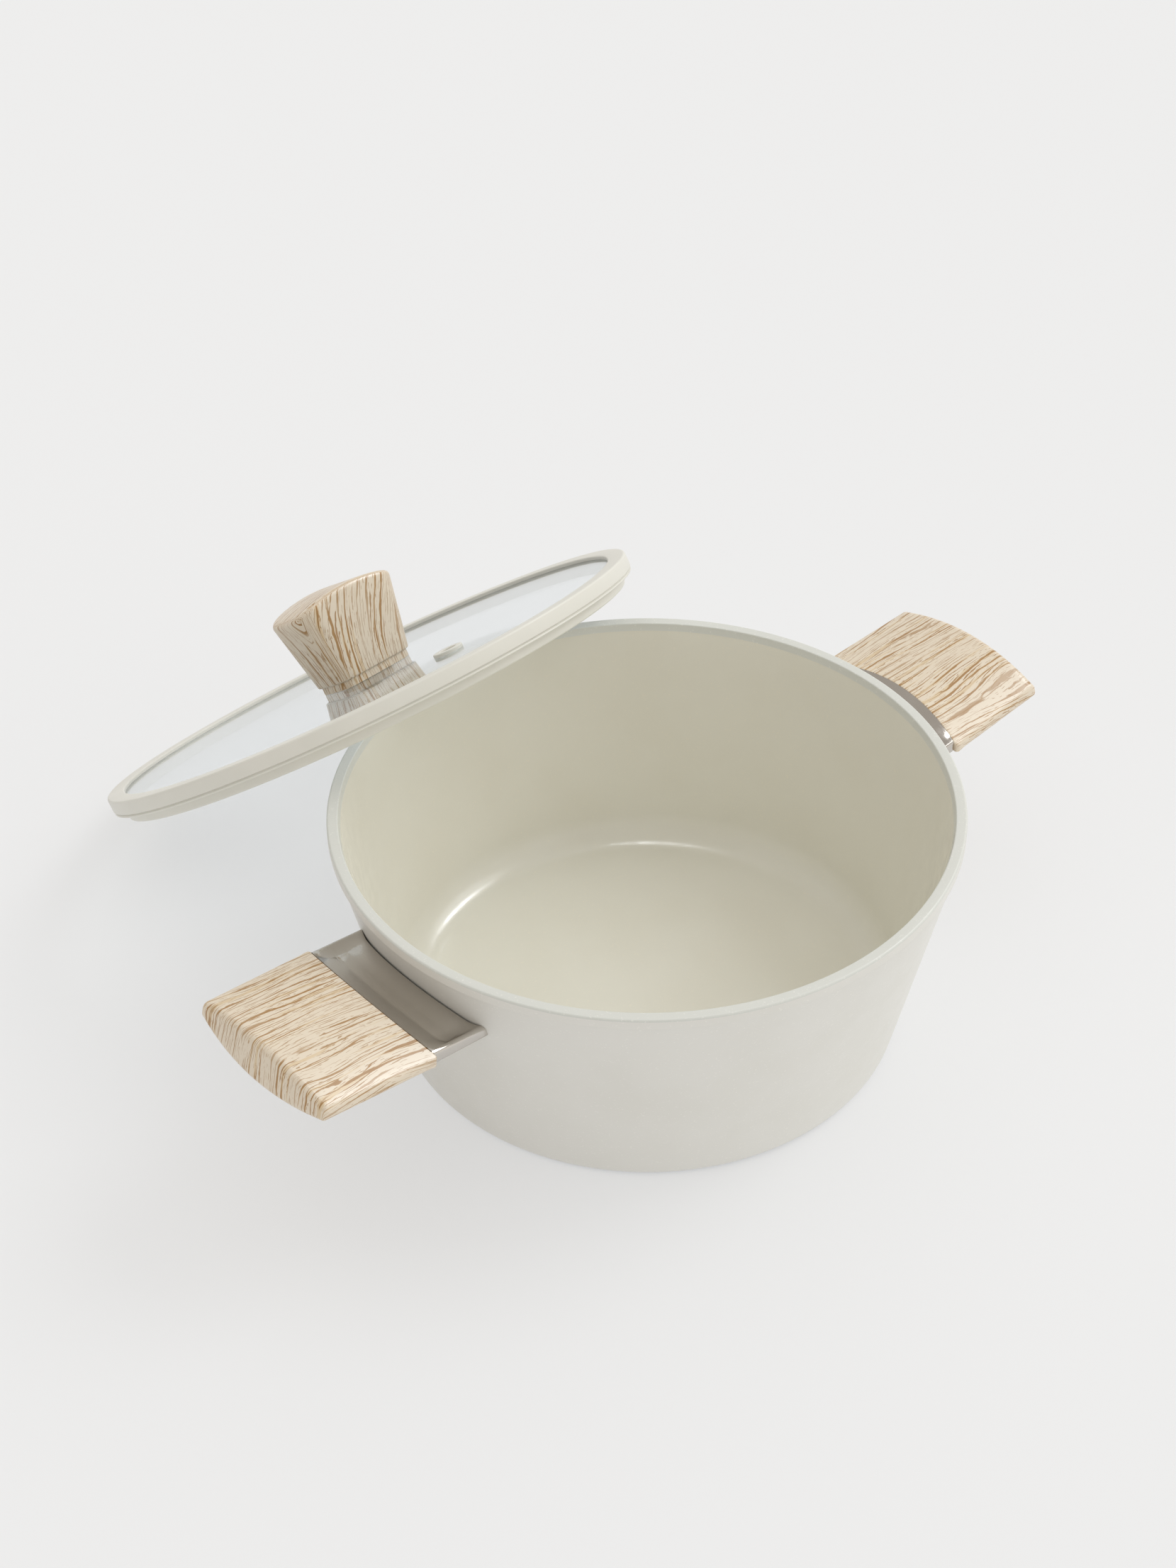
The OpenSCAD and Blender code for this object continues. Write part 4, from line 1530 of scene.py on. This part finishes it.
@dataclass
class Knob:
    """The flared, arched knob and what fastens it through the glass."""

    lid: Lid
    foot_a: float = 20.0
    foot_b: float = 14.0
    top_a: float = 28.0
    top_b: float = 17.5
    neck_h: float = 3.5
    neck_inset: float = 1.3
    height: float = 41.0
    arch_r: float = 78.0
    corner_r: float = 7.0
    bow: float = 1.1
    edge_r: float = 2.4
    neck_lip_r: float = 0.6
    glass_clear: float = 0.02
    flank_reach: float = 6.0
    swing: float = 11.0
    swing_back: float = 3.5
    layer: float = 12.0
    insert_r: float = 4.5
    insert_len: float = 13.0
    seal_r: float = 8.0
    seal_t: float = 1.0

    @property
    def place(self) -> Matrix:
        """The knob's frame: the lid's, raised to the top of the glass."""
        return self.lid.place @ Matrix.Translation((0, 0, -self.lid.lip_h))

    def outline(self, a: float, b: float, radius: float) -> list[Vector]:
        """Rounded rectangle with bowed sides, counter-clockwise.

        Args:
            a: Half length along X.
            b: Half depth along Y.
            radius: Corner radius.

        Returns:
            The outline's points, at height zero.
        """
        points = []
        for turn, (sx, sy) in enumerate(((1, 1), (-1, 1), (-1, -1), (1, -1))):
            centre = (sx * (a - radius), sy * (b - radius))
            points += [Vector((x, y, 0)) for x, y in
                       arc(centre, radius, 90 * turn, 90 * turn + 90, 12)]
            steps = 22 if turn % 2 == 0 else 12
            ahead = ((-sx, sy), (sx, -sy))[turn % 2]
            start = points[-1]
            end = Vector((ahead[0] * (a - radius), ahead[1] * b, 0)) if turn % 2 == 0 \
                else Vector((ahead[0] * a, ahead[1] * (b - radius), 0))
            points += [start.lerp(end, i / steps) for i in range(1, steps)]
        bowed = []
        for spot in points:
            side = spot.y / b
            end = spot.x / a
            x = spot.x - self.bow * 0.6 * math.copysign(side * side * abs(end) ** 3, spot.x)
            y = spot.y - self.bow * math.copysign(end * end * abs(side) ** 3, spot.y)
            bowed.append(Vector((x, y, 0)))
        return bowed

    def arch(self, x: float) -> float:
        """Height of the arched top."""
        return self.height - self.arch_r + math.sqrt(self.arch_r ** 2 - x * x)

    def flare(self, height: float) -> list[Vector]:
        """Draws the knob's side at one height.

        Args:
            height: Height above the glass; the knob's own height gives its widest outline.

        Returns:
            The outline's points at that height.
        """
        share = (height - self.neck_h) / (self.height - self.neck_h)
        radius = mix(self.corner_r, self.corner_r + self.top_b - self.foot_b, share)
        ring = self.outline(mix(self.foot_a, self.top_a, share),
                            mix(self.foot_b, self.top_b, share), radius)
        return [Vector((spot.x, spot.y, height)) for spot in ring]

    def knob_draft(self) -> Draft:
        """Lofts the knob from its neck to its arched top.

        Returns:
            The closed draft of the knob, before anything is bored in it.
        """
        foot, crown = self.flare(self.neck_h), self.flare(self.height)
        normals = plan_normals(foot)
        neck = self.outline(self.foot_a - self.neck_inset, self.foot_b - self.neck_inset,
                            self.corner_r - self.neck_inset)
        steps = 7
        low = self.glass_clear
        rows = [[Vector((0, 0, low))], [Vector((s.x * 0.5, s.y * 0.5, low)) for s in neck]]
        for height, inset in ((low, 0.3), (0.15, 0.08), (0.4, 0.0), (self.neck_h - 0.35, 0.0),
                              (self.neck_h - 0.1, 0.0)):
            rows.append([Vector((s.x, s.y, height)) - n * inset for s, n in zip(neck, normals)])
        rows.append([s.lerp(Vector((f.x, f.y, self.neck_h - 0.1)), 0.55)
                     for s, f in zip(rows[-1], foot)])
        rolls = [[] for _ in range(steps + 1)]
        sides = []
        for spot, above, normal in zip(foot, crown, normals):
            rise = above - spot
            out = (normal - Vector((0, 0, rise.dot(normal) / rise.z))).normalized()
            share = 1.0
            for _ in range(6):
                share = (self.arch(mix(spot.x, above.x, share)) - self.neck_h) / rise.z
            corner = spot.lerp(above, share)
            top = Vector((corner.x, 0, self.arch(corner.x) + self.arch_r - self.height))
            roll = rolled_edge(corner, out, top.normalized(), self.edge_r, steps)
            for i in range(steps + 1):
                rolls[i].append(roll[i])
            lip = rolled_edge(spot, Vector((0, 0, -1)), out, self.neck_lip_r, 3)
            sides.append((lip, roll[0]))
        for i in range(4):
            rows.append([lip[i] for lip, _ in sides])
        for share in (0.12, 0.28, 0.45, 0.62, 0.8):
            rows.append([lip[3].lerp(end, share) for lip, end in sides])
        rows += rolls
        for share in (0.93, 0.8, 0.64, 0.48, 0.32, 0.16):
            rows.append([self.on_arch(spot, share) for spot in rolls[-1]])
        rows.append([Vector((0, 0, self.height))])
        draft = Draft()
        draft.skins([draft.ring(row) for row in rows])
        return draft

    def on_arch(self, edge: Vector, share: float) -> Vector:
        """A point of the arched top, part of the way from the middle to an edge."""
        return Vector((edge.x * share, edge.y * share, self.arch(edge.x * share)))

    def grain(self, spot: Vector, normal: Vector) -> tuple[float, float, float]:
        """Place of a point in the film's grain, which climbs the sides and runs over the top.

        Args:
            spot: The point, in the knob's frame.
            normal: The outward normal there.

        Returns:
            Millimetres across the grain, along it, and a number for the layer.
        """
        rise = spot.z / self.height
        spread = mix(1.0, self.top_a / self.foot_a, smooth(rise))
        flank = smooth((abs(normal.x) - 0.45) / 0.4)
        round_x = spot.x / spread + math.copysign(self.flank_reach, spot.x) * flank
        swing = self.swing * rise * rise - self.swing_back * rise
        across = round_x + swing + math.copysign(0.8, spot.x) * flank * spot.y
        over = smooth((normal.z - 0.55) / 0.35)
        top_across = spot.y * 1.1 + 16.0
        along = mix(spot.z, spot.x, over) + 20.0
        return mix(across, top_across, over), along, self.layer * (1 + 0.5 * over)

    def knob(self) -> None:
        """Builds the knob and bores the seats of its insert and seal."""
        piece = self.knob_draft().piece("ash_knob", self.place, sharp=32)
        cutters = [ring_cutter("seal_seat", self.seal_r, -1.0, self.seal_t, self.place, (0, 0)),
                   ring_cutter("insert_seat", self.insert_r, -1.5, self.seal_t + self.insert_len,
                               self.place, (0, 0))]
        carve(piece, cutters)
        piece.data.set_sharp_from_angle(angle=math.radians(32))
        lay_grain(piece, self.place, self.grain)
        fit(piece, Body.LID, ["knob"], [ASH_FILM])

    def fixings(self) -> None:
        """Dresses the insert, seals, cup washer and screw."""
        dress(soften("knob_insert", 0.2), [BRASS])
        dress(soften("knob_seal", 0.15), [SEAL_SILICONE])
        dress(soften("under_seal", 0.2), [SEAL_SILICONE])
        dress(soften("cup_washer", 0.3), [SCREW_STEEL])
        dress(soften("knob_screw", 0.3), [SCREW_STEEL])

    def build(self) -> None:
        """Builds the knob and dresses its fixings."""
        self.knob()
        self.fixings()


# ---- studio ----


@dataclass
class Studio:
    """The paper floor, the soft lights and the camera."""

    floor_half_w: float = 40.0
    lens_mm: float = 64.2
    distance_mm: float = 1153.8
    bearing: float = 40.56
    elevation: float = 38.42
    roll: float = -1.12
    aim_mm: tuple[float, float, float] = (18.5, 56.3, 69.1)
    key_turn: float = -18.0
    horizon_lit: str = "#f6f3ee"
    horizon_dim: str = "#b5afa8"
    zenith: str = "#bdb8b2"
    sky_strength: float = 1.05
    lamp_tint: str = "#f9fcff"

    def floor(self) -> None:
        """Lays the paper."""
        draft = Draft()
        half = self.floor_half_w / MM
        draft.ring([Vector((x, y, -0.02)) for x, y in
                    ((-half, -half), (half, -half), (half, half), (-half, half))])
        draft.faces.append((0, 1, 2, 3))
        draft.finish_of.append(0)
        piece = draft.piece("paper_floor", Matrix.Identity(4))
        dress(piece, [PAPER])

    def lamp(self, name: str, turn_deg: float, height_deg: float, strength: float,
             spread: float, diffuse: bool = True, mirrored: bool = True) -> None:
        """Hangs a far, soft light.

        Args:
            name: Name of the light.
            turn_deg: Its bearing from +X, in degrees.
            height_deg: Its height above the horizon, in degrees.
            strength: Its strength.
            spread: The angle that it fills, in degrees.
            diffuse: Whether it lights matt surfaces, and shines through the glass.
            mirrored: Whether glossy surfaces show it.
        """
        lamp = bpy.data.lights.new(name, "SUN")
        lamp.energy = strength
        lamp.angle = math.radians(spread)
        lamp.color = linear(self.lamp_tint)[:3]
        light = bpy.data.objects.new(name, lamp)
        turn, height = math.radians(turn_deg), math.radians(height_deg)
        way = Vector((math.cos(turn) * math.cos(height), math.sin(turn) * math.cos(height),
                      math.sin(height)))
        light.rotation_euler = way.to_track_quat("Z", "Y").to_euler()
        light.visible_diffuse = diffuse
        light.visible_glossy = mirrored
        light.visible_transmission = diffuse
        if not diffuse:
            light.light_linking.receiver_collection = self.spared()
        bpy.context.scene.collection.objects.link(light)

    def spared(self) -> bpy.types.Collection:
        """Keeps the mirror-only lamps off the glass, as a flat pane would show them whole.

        Returns:
            The collection that the lamps' light is linked to, with the glass left out.
        """
        name = "glass_spared"
        known = bpy.data.collections.get(name)
        if known is not None:
            return known
        made = bpy.data.collections.new(name)
        made.objects.link(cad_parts["glass_disc"])
        made.collection_objects[0].light_linking.link_state = "EXCLUDE"
        return made

    def sky(self) -> None:
        """Fills the room: pale low on the lit side, dimmer opposite and a warm grey overhead."""
        world = bpy.data.worlds.new("studio_room")
        bpy.context.scene.world = world
        world.use_nodes = True
        tree = world.node_tree
        ways = add(tree, "ShaderNodeTexCoord").outputs["Generated"]
        turn = math.radians(self.key_turn)
        toward = (math.cos(turn), math.sin(turn), 0.0)
        side = add(tree, "ShaderNodeVectorMath", {0: ways, 1: toward},
                   operation="DOT_PRODUCT").outputs["Value"]
        up = add(tree, "ShaderNodeSeparateXYZ", {0: ways}).outputs["Z"]
        lit, high = [
            add(tree, "ShaderNodeMapRange", {"Value": way, "From Min": low, "From Max": top},
                interpolation_type="SMOOTHSTEP").outputs["Result"]
            for way, low, top in ((side, -0.8, 0.8), (up, 0.35, 0.8))]
        round_about = add(tree, "ShaderNodeMix", {0: lit, 6: linear(self.horizon_dim),
                                                  7: linear(self.horizon_lit)}, data_type="RGBA")
        tone = add(tree, "ShaderNodeMix", {0: high, 6: round_about.outputs[2],
                                           7: linear(self.zenith)}, data_type="RGBA")
        back = tree.nodes["Background"]
        tree.links.new(tone.outputs[2], back.inputs["Color"])
        back.inputs["Strength"].default_value = self.sky_strength

    def camera(self) -> None:
        """Sets the camera up, looking down on the pot from the left of its front."""
        lens = bpy.data.cameras.new("view")
        lens.lens = self.lens_mm
        lens.sensor_width = 36.0
        lens.clip_end = 100.0
        eye = bpy.data.objects.new("view", lens)
        turn, height = math.radians(self.bearing), math.radians(self.elevation)
        back = Vector((-math.sin(turn) * math.cos(height), -math.cos(turn) * math.cos(height),
                       math.sin(height)))
        look = back.to_track_quat("Z", "Y").to_matrix().to_4x4()
        spot = (Vector(self.aim_mm) + back * self.distance_mm) * MM
        eye.matrix_world = (Matrix.Translation(spot) @ look
                            @ Matrix.Rotation(math.radians(self.roll), 4, "Z"))
        bpy.context.scene.collection.objects.link(eye)
        bpy.context.scene.camera = eye

    def build(self) -> None:
        """Sets the whole studio up."""
        bpy.context.scene.view_settings.view_transform = "Standard"
        self.floor()
        self.lamp("key", self.key_turn, 46.0, strength=0.5, spread=28.0)
        self.lamp("glint", 0.0, 50.0, strength=1.0, spread=10.0, diffuse=False)
        self.lamp("crown", 49.0, 78.0, strength=0.4, spread=12.0, diffuse=False)
        self.lamp("wash", self.key_turn, 76.0, strength=0.95, spread=120.0, mirrored=False)
        self.sky()
        self.camera()


def main() -> None:
    """Builds the studio and the saucepan."""
    logging.basicConfig(level=logging.INFO, format="%(name)s: %(message)s")
    Studio().build()
    pot = Pot()
    pot.build()
    for side in Side:
        Handle(side, pot).build()
    lid = Lid(pot)
    lid.build()
    Knob(lid).build()


if __name__ == "__main__":
    main()
